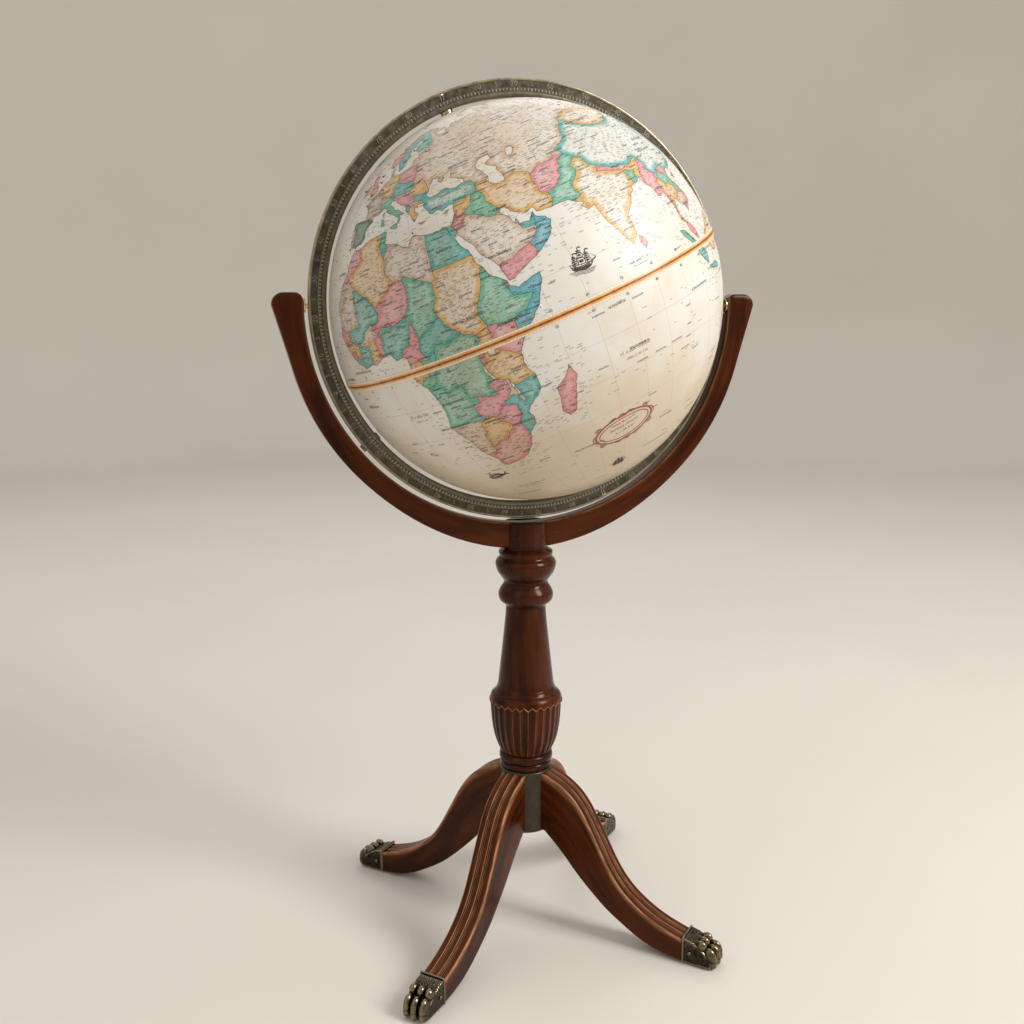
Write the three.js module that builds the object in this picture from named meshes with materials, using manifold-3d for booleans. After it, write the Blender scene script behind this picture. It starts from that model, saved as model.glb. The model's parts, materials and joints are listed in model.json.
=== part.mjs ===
// Floor-standing library globe. Millimetres, +Z up, origin on the floor under the column.
// The yoke and the meridian ring stand in the XZ plane; the north pole leans towards -X.
import * as THREE from 'three';
import { mergeVertices } from 'three/addons/utils/BufferGeometryUtils.js';
import Module from 'manifold-3d';

const wasm = await Module();
wasm.setup();

// ---------------------------------------------------------------- driving dimensions
const GAP = 0.3;
const BORE_CLEARANCE = 0.3;
const ROUND_SEGMENTS = 32;
const PIN_SEGMENTS = 12;

const ballRadius = 203.2;
const shellThickness = 2.6;
const ballCentreZ = 688;
const poleTilt = THREE.MathUtils.degToRad(23.5);
const ballSegments = 48;
const ballLatitudeSteps = 10;
const poleBushRadius = 7;
const poleBushLength = 9;
const poleBushFlangeRadius = 11;
const poleBushFlange = 1.8;
const hoopThickness = 3;
const hoopHalfHeight = 13;
const tapeThickness = 0.5;
const tapeHalfWidth = 4;

const ringInner = 207;
const ringOuter = 225;
const ringThickness = 11;
const ringRimWidth = 2.6;
const ringFieldDrop = 1.1;
const ringSegments = 72;
const spliceAngle = THREE.MathUtils.degToRad(106.5);
const spliceSlit = 0.6;
const clampInner = 204.9;
const clampOuter = 227.4;
const clampWidth = 8;
const clampThickness = 3.2;
const clampScrewRadius = 1.5;
const clampScrewHeadRadius = 2.4;
const clampScrewOffset = 2.6;
const clampScrewDepth = 4;
const poleScrewRadius = 3;
const poleScrewHeadRadius = 5;
const poleScrewHeadDepth = 4;
const poleScrewReach = 197.5;
const poleWasherRadius = 6.5;

const yokeInner = 229.5;
const yokeArmOuter = 250.5;
const yokeFootOuter = 258;
const yokeThickness = 19;
const yokeEdge = 2.5;
const yokeTipTop = 12.5;
const yokeTipOuter = 260.5;
const yokeStep = THREE.MathUtils.degToRad(4);
const pivotPinRadius = 3.5;
const pivotPinInner = 212.5;
const pivotPinOuter = 248;
const pivotBushRadius = 6;
const pivotBushLength = 14;
const pivotBushFlangeRadius = 8;
const pivotBushFlange = 1.6;
const yokeDowelRadius = 3;
const yokeDowelLength = 40;
const yokeDowelX = 12;
const yokeDowelZ = 444;

const boreRadius = 5.4;
const rodRadius = 5;
const rodBottom = 115;
const rodTop = 404;
const nutRadius = 9.5;
const nutHeight = 8;
const washerRadius = 14;
const washerHeight = 2.5;

const hubRadius = 29.5;
const hubTop = 179.2;
const hubBottom = 107;
const hubRecessRadius = 17.5;
const hubRecessTop = 130;
const hubCapThickness = 4;

const legCount = 4;
const legWidth = 27;
const legEnd = 194;
const legBoltRadius = 4;
const legBoltZ = 149;
const legBoltInner = 13;
const legBoltOuter = 56;
const reedGrooveWidth = 1.6;
const reedGrooveDepth = 1.3;
const reedGrooveOffset = 4.5;
const tenonEnd = 210;
const tenonWidth = 20;
const tenonBottom = 5.5;
const tenonTop = 22;

const pawWidth = 28.4;
const pawBottom = 2;
const toeSpacing = 9.2;
const toeHalfWidth = 4.7;
const nailRadius = 1.1;
const nailHeadRadius = 2;
const nailHead = 0.9;
const nailReach = 7;
const nailX = 203;
const nailZ = 14;
const glideX = 211;
const glideLength = 24;
const glideWidth = 20;
const glideHeight = pawBottom - GAP;

const fluteCount = 28;
const fluteDepth = 1.5;
const fluteTop = 258;
const fluteBottom = 201;

// ---------------------------------------------------------------- outlines (radius, height)
const headProfile = [
  [22, 365.3], [24, 367.5], [27.2, 370], [29.3, 373], [30.1, 377.5], [29.6, 381],
  [27.5, 385.5], [24.8, 389.5], [24.1, 392.6], [25, 395], [28, 399], [31.2, 404],
  [32.8, 409], [33.2, 413], [32, 416.5], [29.5, 419.5], [28.6, 421.5], [29.4, 423.6],
  [29.4, 426.4], [26, 428.2], [23.9, 429.6], [23.3, 432], [23.3, 457.8], [22.3, 459],
];
const shaftProfile = [
  [31, 266.6], [33, 268.8], [31.6, 272.4], [30.65, 278], [26.9, 312.8], [23.2, 347.3],
  [22, 362], [21.8, 365],
];
const urnProfile = [
  [27.6, 197.6], [29.9, 201], [32.95, 207.3], [36, 217], [38.45, 231], [39.7, 246],
  [40, 258], [39.6, 261.4], [37.7, 264.4], [34.6, 266.3],
];
const footRingProfile = [
  [26.4, 179.5], [28.1, 180.7], [28.7, 183.5], [28.1, 186.3], [27, 187.6], [29, 188.6],
  [30, 191.9], [29.3, 195.4], [27.4, 197.3],
];
const legTop = [
  [20, 180.5], [25.2, 178.8], [37.5, 175.9], [50, 169.2], [62, 161.4], [74.5, 148],
  [86.8, 126.6], [99, 104], [111.2, 81.2], [123.3, 64.8], [135.3, 54], [147.2, 46],
  [159, 39], [170.5, 34.2], [182, 30.4], [194, 27.2],
];
const legUnderside = [
  [194, 2.6], [182, 3.2], [170.7, 4.8], [159.2, 8], [147.6, 12.1], [135.8, 18.6],
  [124, 25.8], [112, 33], [99.8, 42.2], [87.6, 53.6], [75.3, 64.8], [63, 78.1],
  [50.5, 92.8], [38, 103.5], [26.6, 114.5], [20, 120.5],
];
const pawOutline = [
  [194.3, 2], [228, 2], [229.5, 8], [226, 15], [220, 20], [213, 24.5], [206, 27.6],
  [200.4, 28.4], [199, 30.2], [196, 30.8], [194.3, 29.4],
];
const knuckles = [
  { centre: [214.5, 23.6], radii: [7.6, toeHalfWidth, 7.2] },
  { centre: [226, 14.6], radii: [8, toeHalfWidth, 10.8] },
];

// ---------------------------------------------------------------- finishes
function finish(color, roughness, metalness) {
  return new THREE.MeshStandardMaterial({ color, roughness, metalness });
}
const mahogany = () => finish(0x3c160a, 0.28, 0);
const redMahogany = () => finish(0x4f2010, 0.3, 0);
const oliveIron = () => finish(0x33291a, 0.4, 0.55);
const agedBronze = () => finish(0x4b4637, 0.45, 0.85);
const pawBronze = () => finish(0x6c603c, 0.34, 0.9);
const brass = () => finish(0xb89a5c, 0.28, 0.95);
const steel = () => finish(0x8d8d8a, 0.4, 0.9);
const parchment = () => finish(0xd8c8a6, 0.55, 0);
const board = () => finish(0x9c8666, 0.85, 0);
const equatorPaper = () => finish(0xc98a45, 0.55, 0);
const felt = () => finish(0x3a3228, 0.95, 0);

// ---------------------------------------------------------------- solids and booleans
function weld(geometry) {
  const bare = geometry.clone();
  bare.deleteAttribute('normal');
  bare.deleteAttribute('uv');
  return mergeVertices(bare, 1e-4);
}

function solidOf(geometry) {
  const welded = weld(geometry);
  const position = welded.attributes.position;
  const triangles = [];
  for (let i = 0; i < welded.index.count; i += 3) {
    const [a, b, c] = [0, 1, 2].map((k) => welded.index.getX(i + k));
    if (a !== b && b !== c && c !== a) triangles.push([a, b, c]);
  }
  const corner = (k) => new THREE.Vector3().fromBufferAttribute(position, k);
  const volume = triangles.reduce((sum, [a, b, c]) => sum + corner(a).dot(corner(b).cross(corner(c))), 0);
  const ordered = volume < 0 ? triangles.map(([a, b, c]) => [a, c, b]) : triangles;
  const mesh = new wasm.Mesh({
    numProp: 3,
    vertProperties: new Float32Array(position.array),
    triVerts: new Uint32Array(ordered.flat()),
  });
  return new wasm.Manifold(mesh);
}

function geometryOf(solid) {
  const mesh = solid.getMesh();
  const geometry = new THREE.BufferGeometry();
  geometry.setAttribute('position', new THREE.BufferAttribute(new Float32Array(mesh.vertProperties), 3));
  geometry.setIndex(new THREE.BufferAttribute(new Uint32Array(mesh.triVerts), 1));
  geometry.computeVertexNormals();
  return geometry;
}

function cut(solid, ...cutters) {
  return cutters.reduce((rest, cutter) => rest.subtract(cutter), solid);
}

// Turned solid about +Z from a (radius, height) outline; a bore makes it a sleeve.
function turned(profile, bore = 0, segments = ROUND_SEGMENTS) {
  const low = profile[0][1];
  const high = profile[profile.length - 1][1];
  const outline = [[bore, low], ...profile, [bore, high]];
  if (bore > 0) outline.push([bore, low]);
  const points = outline.map(([r, z]) => new THREE.Vector2(r, z));
  return new THREE.LatheGeometry(points, segments).rotateX(Math.PI / 2);
}

function rod(radius, low, high, segments = PIN_SEGMENTS) {
  return turned([[radius, low], [radius, high]], 0, segments);
}

// Moves something made along +Z so that it runs along -X or +X through the pivots.
function towards(geometry, side) {
  return geometry.rotateY((side * Math.PI) / 2);
}

function extrudeAcross(points, width, edge = 0) {
  const shape = new THREE.Shape(points.map(([x, z]) => new THREE.Vector2(x, z)));
  const options = { depth: width - 2 * edge, bevelEnabled: edge > 0 };
  if (edge > 0) {
    Object.assign(options, { bevelSize: edge, bevelThickness: edge, bevelOffset: -edge, bevelSegments: 1 });
  }
  const geometry = new THREE.ExtrudeGeometry(shape, options);
  geometry.translate(0, 0, edge - width / 2);
  return geometry.rotateX(Math.PI / 2);
}

function box(lengthX, widthY, heightZ, x, y, z) {
  return new THREE.BoxGeometry(lengthX, widthY, heightZ).translate(x, y, z);
}

function add(parent, name, shape, material) {
  const geometry = shape.isBufferGeometry ? geometryOf(solidOf(shape)) : geometryOf(shape);
  const mesh = new THREE.Mesh(geometry, material);
  mesh.name = name;
  parent.add(mesh);
  return mesh;
}

// ---------------------------------------------------------------- column
function fluted(geometry) {
  const position = geometry.attributes.position;
  const depthAt = [0, fluteDepth, fluteDepth];
  const segments = fluteCount * depthAt.length;
  for (let i = 0; i < position.count; i += 1) {
    const [x, y, z] = [position.getX(i), position.getY(i), position.getZ(i)];
    const radius = Math.hypot(x, y);
    if (radius < boreRadius + 1 || z > fluteTop || z < fluteBottom) continue;
    const step = Math.round((Math.atan2(y, x) / (2 * Math.PI)) * segments + segments);
    const scale = (radius - depthAt[step % depthAt.length]) / radius;
    position.setXY(i, x * scale, y * scale);
  }
  return geometry;
}

function addColumn(stand) {
  add(stand, 'foot_ring', turned(footRingProfile, boreRadius), mahogany());
  add(stand, 'urn', fluted(turned(urnProfile, boreRadius, fluteCount * 3)), redMahogany());
  add(stand, 'shaft', turned(shaftProfile, boreRadius), redMahogany());

  const top = headProfile[headProfile.length - 1][1];
  const slotFloor = ballCentreZ - yokeFootOuter - GAP;
  const slotHeight = top - slotFloor + 1;
  const slot = box(80, yokeThickness + 2 * GAP, slotHeight, 0, 0, slotFloor + slotHeight / 2);
  const rodBore = rod(boreRadius, 360, rodTop + 1);
  const dowelBores = [-1, 1].map((side) => solidOf(
    rod(yokeDowelRadius + BORE_CLEARANCE, -40, 40).rotateX(Math.PI / 2)
      .translate(side * yokeDowelX, 0, yokeDowelZ),
  ));
  const head = cut(solidOf(turned(headProfile)), solidOf(slot), solidOf(rodBore), ...dowelBores);
  add(stand, 'column_head', head, mahogany());

  add(stand, 'tie_rod', rod(rodRadius, rodBottom, rodTop), steel());
  const nutLow = rodBottom + 4;
  const washerLow = hubRecessTop - GAP - washerHeight;
  const nut = cut(
    solidOf(rod(nutRadius, nutLow, nutLow + nutHeight, 6)),
    solidOf(rod(boreRadius, nutLow - 1, nutLow + nutHeight + 1)),
  );
  const washer = [[washerRadius, washerLow], [washerRadius, washerLow + washerHeight]];
  add(stand, 'tie_nut', nut, steel());
  add(stand, 'tie_washer', turned(washer, boreRadius, 24), steel());
}

// ---------------------------------------------------------------- hub and legs
function radialBore(radius, inner, outer, z, angle) {
  return rod(radius, inner, outer).rotateY(Math.PI / 2).rotateZ(angle).translate(0, 0, z);
}

function legAngles() {
  return Array.from({ length: legCount }, (_, i) => Math.PI / 4 + (i * 2 * Math.PI) / legCount);
}

function addHub(stand) {
  const outline = [
    [hubRadius - 6, hubBottom], [hubRadius - 2, hubBottom + 1.8], [hubRadius, hubBottom + 6],
    [hubRadius, hubTop],
  ];
  const bores = legAngles().map((angle) => solidOf(
    radialBore(legBoltRadius + BORE_CLEARANCE, legBoltInner - 1, hubRadius + 2, legBoltZ, angle),
  ));
  const recess = solidOf(rod(hubRecessRadius, hubBottom - 1, hubRecessTop, 24));
  const hub = cut(solidOf(turned(outline, boreRadius)), recess, ...bores);
  add(stand, 'hub', hub, oliveIron());
  const capRadius = hubRecessRadius - GAP;
  const capTop = hubBottom + hubCapThickness;
  add(stand, 'hub_cap', rod(capRadius, hubBottom, capTop, 24), oliveIron());
}

// Strip under the leg's upper edge, used to plough the grooves between the reeds.
function grooveCutter(offset) {
  const above = legTop.map(([x, z]) => [x, z + 4]);
  const below = legTop.map(([x, z], i) => {
    const [x0, z0] = legTop[Math.max(i - 1, 0)];
    const [x1, z1] = legTop[Math.min(i + 1, legTop.length - 1)];
    const length = Math.hypot(x1 - x0, z1 - z0);
    return [x + ((z1 - z0) / length) * reedGrooveDepth, z - ((x1 - x0) / length) * reedGrooveDepth];
  });
  const strip = extrudeAcross([...above, ...below.reverse()], reedGrooveWidth);
  return solidOf(strip.translate(0, offset, 0));
}

function legSolid() {
  const blank = solidOf(extrudeAcross([...legTop, ...legUnderside], legWidth));
  const tenonLength = tenonEnd - legEnd + 4;
  const tenonHeight = tenonTop - tenonBottom;
  const tenonMiddle = (tenonTop + tenonBottom) / 2;
  const tenon = solidOf(box(tenonLength, tenonWidth, tenonHeight, tenonEnd - tenonLength / 2, 0, tenonMiddle));
  const hubClearance = solidOf(rod(hubRadius + GAP, 90, 200, ROUND_SEGMENTS));
  const boltBore = solidOf(radialBore(legBoltRadius + BORE_CLEARANCE, 20, legBoltOuter + 1, legBoltZ, 0));
  const nailBore = solidOf(rod(nailRadius + BORE_CLEARANCE, -pawWidth, pawWidth, 8)
    .rotateX(Math.PI / 2).translate(nailX, 0, nailZ));
  const grooves = [-1, 1].map((side) => grooveCutter(side * reedGrooveOffset));
  return cut(blank.add(tenon), hubClearance, boltBore, nailBore, ...grooves);
}

function pawSolid() {
  const toes = [-1, 0, 1].flatMap((toe) => knuckles.map(({ centre, radii }) => solidOf(
    new THREE.SphereGeometry(1, 10, 6).scale(...radii).translate(centre[0], toe * toeSpacing, centre[1]),
  )));
  const body = toes.reduce((whole, toe) => whole.add(toe), solidOf(extrudeAcross(pawOutline, pawWidth)));
  const socketLength = tenonEnd + BORE_CLEARANCE - legEnd + 2;
  const socket = solidOf(box(
    socketLength, tenonWidth + 2 * BORE_CLEARANCE, tenonTop - tenonBottom + 2 * BORE_CLEARANCE,
    tenonEnd + BORE_CLEARANCE - socketLength / 2, 0, (tenonTop + tenonBottom) / 2,
  ));
  const nailBore = solidOf(rod(nailRadius + BORE_CLEARANCE, -pawWidth, pawWidth, 8)
    .rotateX(Math.PI / 2).translate(nailX, 0, nailZ));
  const under = solidOf(box(60, 60, 20, 210, 0, pawBottom - 10));
  return cut(body, socket, nailBore, under);
}

function nailGeometry(side) {
  const face = pawWidth / 2 + GAP;
  const outline = [
    [nailRadius, face - nailReach], [nailRadius, face], [nailHeadRadius, face],
    [nailHeadRadius * 0.7, face + nailHead],
  ];
  return turned(outline, 0, 10).rotateX((-side * Math.PI) / 2).translate(nailX, 0, nailZ);
}

function addLegs(stand) {
  const names = ['back_right', 'back_left', 'front_left', 'front_right'];
  const leg = legSolid();
  const paw = pawSolid();
  legAngles().forEach((angle, i) => {
    const arm = new THREE.Group();
    arm.rotation.z = angle;
    stand.add(arm);
    add(arm, `leg_${names[i]}`, leg, redMahogany());
    add(arm, `paw_${names[i]}`, paw, pawBronze());
    add(arm, `leg_bolt_${names[i]}`, radialBore(legBoltRadius, legBoltInner, legBoltOuter, legBoltZ, 0), steel());
    for (const side of [-1, 1]) {
      const label = side < 0 ? 'a' : 'b';
      add(arm, `cap_nail_${names[i]}_${label}`, nailGeometry(side), brass());
    }
    add(arm, `glide_${names[i]}`, box(glideLength, glideWidth, glideHeight, glideX, 0, glideHeight / 2), felt());
  });
}

// ---------------------------------------------------------------- yoke and pivots
function yokeOutline() {
  const inner = [];
  const outer = [];
  const quarter = Math.PI / 2;
  const steps = Math.round(quarter / yokeStep);
  for (let i = -steps; i <= steps; i += 1) {
    const angle = -quarter + (i * quarter) / steps;
    const lift = Math.cos((Math.min(Math.abs(i / steps), 0.5) * Math.PI) / 0.5 / 2) ** 2;
    const radius = yokeArmOuter + (yokeFootOuter - yokeArmOuter) * lift;
    inner.push([yokeInner * Math.cos(angle), yokeInner * Math.sin(angle)]);
    const flare = Math.max(0, 1 - (steps - Math.abs(i)) * 0.34) ** 2;
    const reach = radius + (yokeTipOuter - yokeArmOuter) * flare;
    outer.push([reach * Math.cos(angle), reach * Math.sin(angle)]);
  }
  const tip = (side) => [
    [side * (yokeInner + 0.8), yokeTipTop - 2], [side * (yokeInner + 3), yokeTipTop],
    [side * (yokeTipOuter - 9), yokeTipTop], [side * (yokeTipOuter - 3), yokeTipTop - 2.4],
    [side * yokeTipOuter, yokeTipTop - 7],
  ];
  return [...outer, ...tip(1).reverse(), ...inner.reverse(), ...tip(-1)];
}

function pivotBore(radius, inner, outer, side) {
  return solidOf(towards(rod(radius, inner, outer), side));
}

function dowelBore(side, radius, reach) {
  return rod(radius, -reach, reach).rotateX(Math.PI / 2).translate(side * yokeDowelX, 0, yokeDowelZ);
}

function addYoke(stand) {
  const blank = extrudeAcross(yokeOutline(), yokeThickness, yokeEdge).translate(0, 0, ballCentreZ);
  const centred = (solid) => solid.translate([0, 0, ballCentreZ]);
  const bushBores = [-1, 1].map((side) => centred(
    pivotBore(pivotBushRadius + BORE_CLEARANCE, yokeInner - 4, yokeInner + pivotBushLength, side),
  ));
  const pinBores = [-1, 1].map((side) => centred(
    pivotBore(pivotPinRadius + BORE_CLEARANCE, yokeInner - 4, pivotPinOuter + 1, side),
  ));
  const dowelBores = [-1, 1].map((side) => solidOf(dowelBore(side, yokeDowelRadius + BORE_CLEARANCE, 40)));
  add(stand, 'yoke', cut(solidOf(blank), ...bushBores, ...pinBores, ...dowelBores), mahogany());

  for (const side of [-1, 1]) {
    const label = side < 0 ? 'left' : 'right';
    const bush = turned([
      [pivotBushFlangeRadius, yokeInner - GAP - pivotBushFlange], [pivotBushFlangeRadius, yokeInner - GAP],
      [pivotBushRadius, yokeInner - GAP], [pivotBushRadius, yokeInner + pivotBushLength - 1],
    ], pivotPinRadius + BORE_CLEARANCE, 24);
    add(stand, `pivot_bush_${label}`, towards(bush, side).translate(0, 0, ballCentreZ), brass());
    const pin = towards(rod(pivotPinRadius, pivotPinInner, pivotPinOuter), side);
    add(stand, `pivot_pin_${label}`, pin.translate(0, 0, ballCentreZ), brass());
    const reach = yokeDowelLength / 2;
    add(stand, `yoke_dowel_${label}`, dowelBore(side, yokeDowelRadius, reach), mahogany());
  }
}

// ---------------------------------------------------------------- meridian ring
// Positions a shape made along +Z at an angle from the north pole, turned towards -X.
function fromNorth(geometry, angle) {
  return geometry.rotateY(-angle);
}

function addMeridian(meridian) {
  const half = ringThickness / 2;
  const field = half - ringFieldDrop;
  const rim = ringOuter - ringRimWidth;
  const section = [
    [ringInner, -field], [rim - 0.6, -field], [rim, -half], [ringOuter - 0.7, -half],
    [ringOuter, -half + 0.8], [ringOuter, half - 0.8], [ringOuter - 0.7, half], [rim, half],
    [rim - 0.6, field], [ringInner, field], [ringInner, -field],
  ];
  const points = section.map(([r, y]) => new THREE.Vector2(r, y));
  const ring = solidOf(new THREE.LatheGeometry(points, ringSegments));
  const slit = solidOf(fromNorth(box(spliceSlit, 30, 40, 0, 0, (ringInner + ringOuter) / 2), spliceAngle));
  const poleBores = [0, Math.PI].flatMap((angle) => [
    solidOf(fromNorth(rod(poleScrewRadius + BORE_CLEARANCE, 190, 240), angle)),
    solidOf(fromNorth(
      rod(poleScrewHeadRadius + BORE_CLEARANCE, ringOuter - poleScrewHeadDepth, 240), angle,
    )),
  ]);
  const pivotBores = [-1, 1].map((side) => solidOf(
    towards(rod(pivotPinRadius + BORE_CLEARANCE, pivotPinInner - 0.5, 240), side).rotateY(poleTilt),
  ));
  const screwPositions = [-1, 1].map((side) => side * clampScrewOffset);
  const screwHole = (offset, radius, low, high) => solidOf(fromNorth(
    rod(radius, low, high, 12).rotateX(-Math.PI / 2).translate(offset, 0, (ringInner + ringOuter) / 2),
    spliceAngle,
  ));
  const ringHoles = screwPositions.map((offset) => screwHole(
    offset, clampScrewRadius + BORE_CLEARANCE, field - clampScrewDepth - 1, 20,
  ));
  add(meridian, 'meridian_ring', cut(ring, slit, ...poleBores, ...pivotBores, ...ringHoles), agedBronze());

  const clampLow = half + GAP;
  const clampLength = clampOuter - clampInner;
  const clampPlate = fromNorth(
    box(clampWidth, clampThickness, clampLength, 0, clampLow + clampThickness / 2, clampInner + clampLength / 2),
    spliceAngle,
  );
  const plateHoles = screwPositions.map((offset) => screwHole(offset, clampScrewRadius + BORE_CLEARANCE, 0, 20));
  add(meridian, 'splice_plate', cut(solidOf(clampPlate), ...plateHoles), agedBronze());
  screwPositions.forEach((offset, i) => {
    const seat = clampLow + clampThickness + GAP;
    const screw = turned([
      [clampScrewRadius, field - clampScrewDepth], [clampScrewRadius, seat], [clampScrewHeadRadius, seat],
      [clampScrewHeadRadius, seat + 1.2],
    ], 0, 12);
    screw.rotateX(-Math.PI / 2).translate(offset, 0, (ringInner + ringOuter) / 2);
    add(meridian, `splice_screw_${i + 1}`, fromNorth(screw, spliceAngle), brass());
  });

  for (const [label, angle] of [['north', 0], ['south', Math.PI]]) {
    const screw = turned([
      [poleScrewRadius, poleScrewReach], [poleScrewRadius, ringOuter - poleScrewHeadDepth + GAP],
      [poleScrewHeadRadius, ringOuter - poleScrewHeadDepth + GAP], [poleScrewHeadRadius, ringOuter],
    ], 0, PIN_SEGMENTS);
    add(meridian, `pole_screw_${label}`, fromNorth(screw, angle), brass());
    const low = ballRadius + GAP;
    const washer = turned(
      [[poleWasherRadius, low], [poleWasherRadius, ringInner - GAP]], poleScrewRadius + BORE_CLEARANCE, 24,
    );
    add(meridian, `pole_washer_${label}`, fromNorth(washer, angle), brass());
  }
}

// ---------------------------------------------------------------- ball
function shellGeometry() {
  const inner = ballRadius - shellThickness;
  const start = Math.asin((poleBushRadius + GAP) / ballRadius);
  const points = [];
  for (let i = 0; i <= ballLatitudeSteps; i += 1) {
    const angle = start + ((Math.PI / 2 - start) * i) / ballLatitudeSteps;
    points.push([ballRadius * Math.sin(angle), ballRadius * Math.cos(angle) + GAP / 2]);
  }
  for (let i = ballLatitudeSteps; i >= 0; i -= 1) {
    const angle = start + ((Math.PI / 2 - start) * i) / ballLatitudeSteps;
    points.push([inner * Math.sin(angle), inner * Math.cos(angle) + GAP / 2]);
  }
  points[points.length - 1][0] = points[0][0];
  points.push(points[0]);
  const lathe = points.map(([r, z]) => new THREE.Vector2(r, z));
  return new THREE.LatheGeometry(lathe, ballSegments).rotateX(Math.PI / 2);
}

function addBall(ball) {
  add(ball, 'shell_north', shellGeometry(), parchment());
  add(ball, 'shell_south', shellGeometry().rotateX(Math.PI), parchment());

  const hoopOuter = Math.sqrt((ballRadius - shellThickness) ** 2 - hoopHalfHeight ** 2) - 2 * GAP;
  const hoop = [[hoopOuter, -hoopHalfHeight], [hoopOuter, hoopHalfHeight]];
  add(ball, 'equator_hoop', turned(hoop, hoopOuter - hoopThickness, ballSegments), board());
  const tapeInner = ballRadius + GAP;
  const tape = [[tapeInner + tapeThickness, -tapeHalfWidth], [tapeInner + tapeThickness, tapeHalfWidth]];
  add(ball, 'equator_tape', turned(tape, tapeInner, ballSegments), equatorPaper());

  for (const [label, angle] of [['north', 0], ['south', Math.PI]]) {
    const shellUnderside = ballRadius - shellThickness - 2 * GAP;
    const bush = turned([
      [poleBushFlangeRadius, shellUnderside - poleBushFlange], [poleBushFlangeRadius, shellUnderside - 0.2],
      [poleBushRadius, shellUnderside], [poleBushRadius, ballRadius - GAP],
    ], poleScrewRadius + BORE_CLEARANCE, 24);
    add(ball, `pole_bush_${label}`, fromNorth(bush, angle), brass());
  }
}

// ---------------------------------------------------------------- assembly
const group = new THREE.Group();
group.name = 'floor_globe';

const stand = new THREE.Group();
stand.name = 'stand';
group.add(stand);
addHub(stand);
addLegs(stand);
addColumn(stand);
addYoke(stand);

const meridian = new THREE.Group();
meridian.name = 'meridian';
meridian.position.set(0, 0, ballCentreZ);
meridian.rotation.y = -poleTilt;
group.add(meridian);
addMeridian(meridian);

const ball = new THREE.Group();
ball.name = 'ball';
meridian.add(ball);
addBall(ball);

export default group;
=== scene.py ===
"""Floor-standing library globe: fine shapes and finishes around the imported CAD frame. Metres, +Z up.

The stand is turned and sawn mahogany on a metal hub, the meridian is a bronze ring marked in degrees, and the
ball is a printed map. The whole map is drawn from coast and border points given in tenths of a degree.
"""

from __future__ import annotations

import json
import logging
import math
from dataclasses import dataclass, field
from enum import Enum
from typing import Callable, ClassVar, Iterable, Sequence

import bmesh
import bpy
import numpy as np
from mathutils import Matrix, Vector, geometry, kdtree, noise

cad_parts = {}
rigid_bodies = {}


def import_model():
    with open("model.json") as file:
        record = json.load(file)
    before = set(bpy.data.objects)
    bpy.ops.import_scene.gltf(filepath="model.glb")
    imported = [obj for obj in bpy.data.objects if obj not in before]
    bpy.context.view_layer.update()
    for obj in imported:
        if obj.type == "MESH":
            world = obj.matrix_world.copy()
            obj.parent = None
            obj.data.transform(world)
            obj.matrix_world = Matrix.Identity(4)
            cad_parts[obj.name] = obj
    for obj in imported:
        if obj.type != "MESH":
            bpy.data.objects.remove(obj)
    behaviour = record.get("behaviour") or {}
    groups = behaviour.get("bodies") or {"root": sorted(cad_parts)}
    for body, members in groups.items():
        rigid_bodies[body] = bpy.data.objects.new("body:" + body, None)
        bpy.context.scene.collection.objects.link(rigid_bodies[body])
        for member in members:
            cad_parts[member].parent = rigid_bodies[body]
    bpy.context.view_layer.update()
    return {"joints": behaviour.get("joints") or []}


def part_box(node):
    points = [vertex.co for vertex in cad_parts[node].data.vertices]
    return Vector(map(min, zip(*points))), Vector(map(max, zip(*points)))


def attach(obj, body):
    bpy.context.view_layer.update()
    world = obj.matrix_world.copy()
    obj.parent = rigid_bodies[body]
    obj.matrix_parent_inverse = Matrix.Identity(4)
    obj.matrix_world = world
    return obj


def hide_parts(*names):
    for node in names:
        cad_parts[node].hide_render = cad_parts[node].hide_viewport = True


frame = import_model()

MM = 0.001
TURN = 2 * math.pi
LOG = logging.getLogger("globe")

Pair = tuple[float, float]
Colour = tuple[float, float, float, float]
Spot = Callable[[np.ndarray], np.ndarray]


class Body(Enum):
    """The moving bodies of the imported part."""

    STAND = "stand"
    MERIDIAN = "meridian"
    GLOBE = "globe"


class Slot(Enum):
    """The record's material slots."""

    MAHOGANY = "mahogany"
    OLIVE_IRON = "olive_iron"
    AGED_BRONZE = "aged_bronze"
    PAW_BRONZE = "paw_bronze"
    BRASS = "bright_brass"
    MAP = "map_paper"
    BOARD = "inner_board"
    BAND = "band_paper"
    FELT = "felt"


def joint_axis(name: str) -> Vector:
    """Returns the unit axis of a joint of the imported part."""
    row = next(j for j in frame["joints"] if j["name"] == name)
    return Vector(row["axis"]).normalized()


def shell_centre() -> Vector:
    """Returns the ball's centre, from the box of its two shells."""
    low = Vector(map(min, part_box("shell_north")[0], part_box("shell_south")[0]))
    high = Vector(map(max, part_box("shell_north")[1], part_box("shell_south")[1]))
    return (low + high) / 2


BALL_CENTRE = shell_centre()
POLE = joint_axis("globe_spin")
TILT = math.atan2(-POLE.x, POLE.z)
BALL_RADIUS = 203.2 * MM
FROM_POLE = Matrix.Translation(BALL_CENTRE) @ Matrix.Rotation(-TILT, 4, "Y")
AT_CENTRE = Matrix.Translation(BALL_CENTRE)
FIRST_MERIDIAN = math.radians(-150.5)


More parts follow.
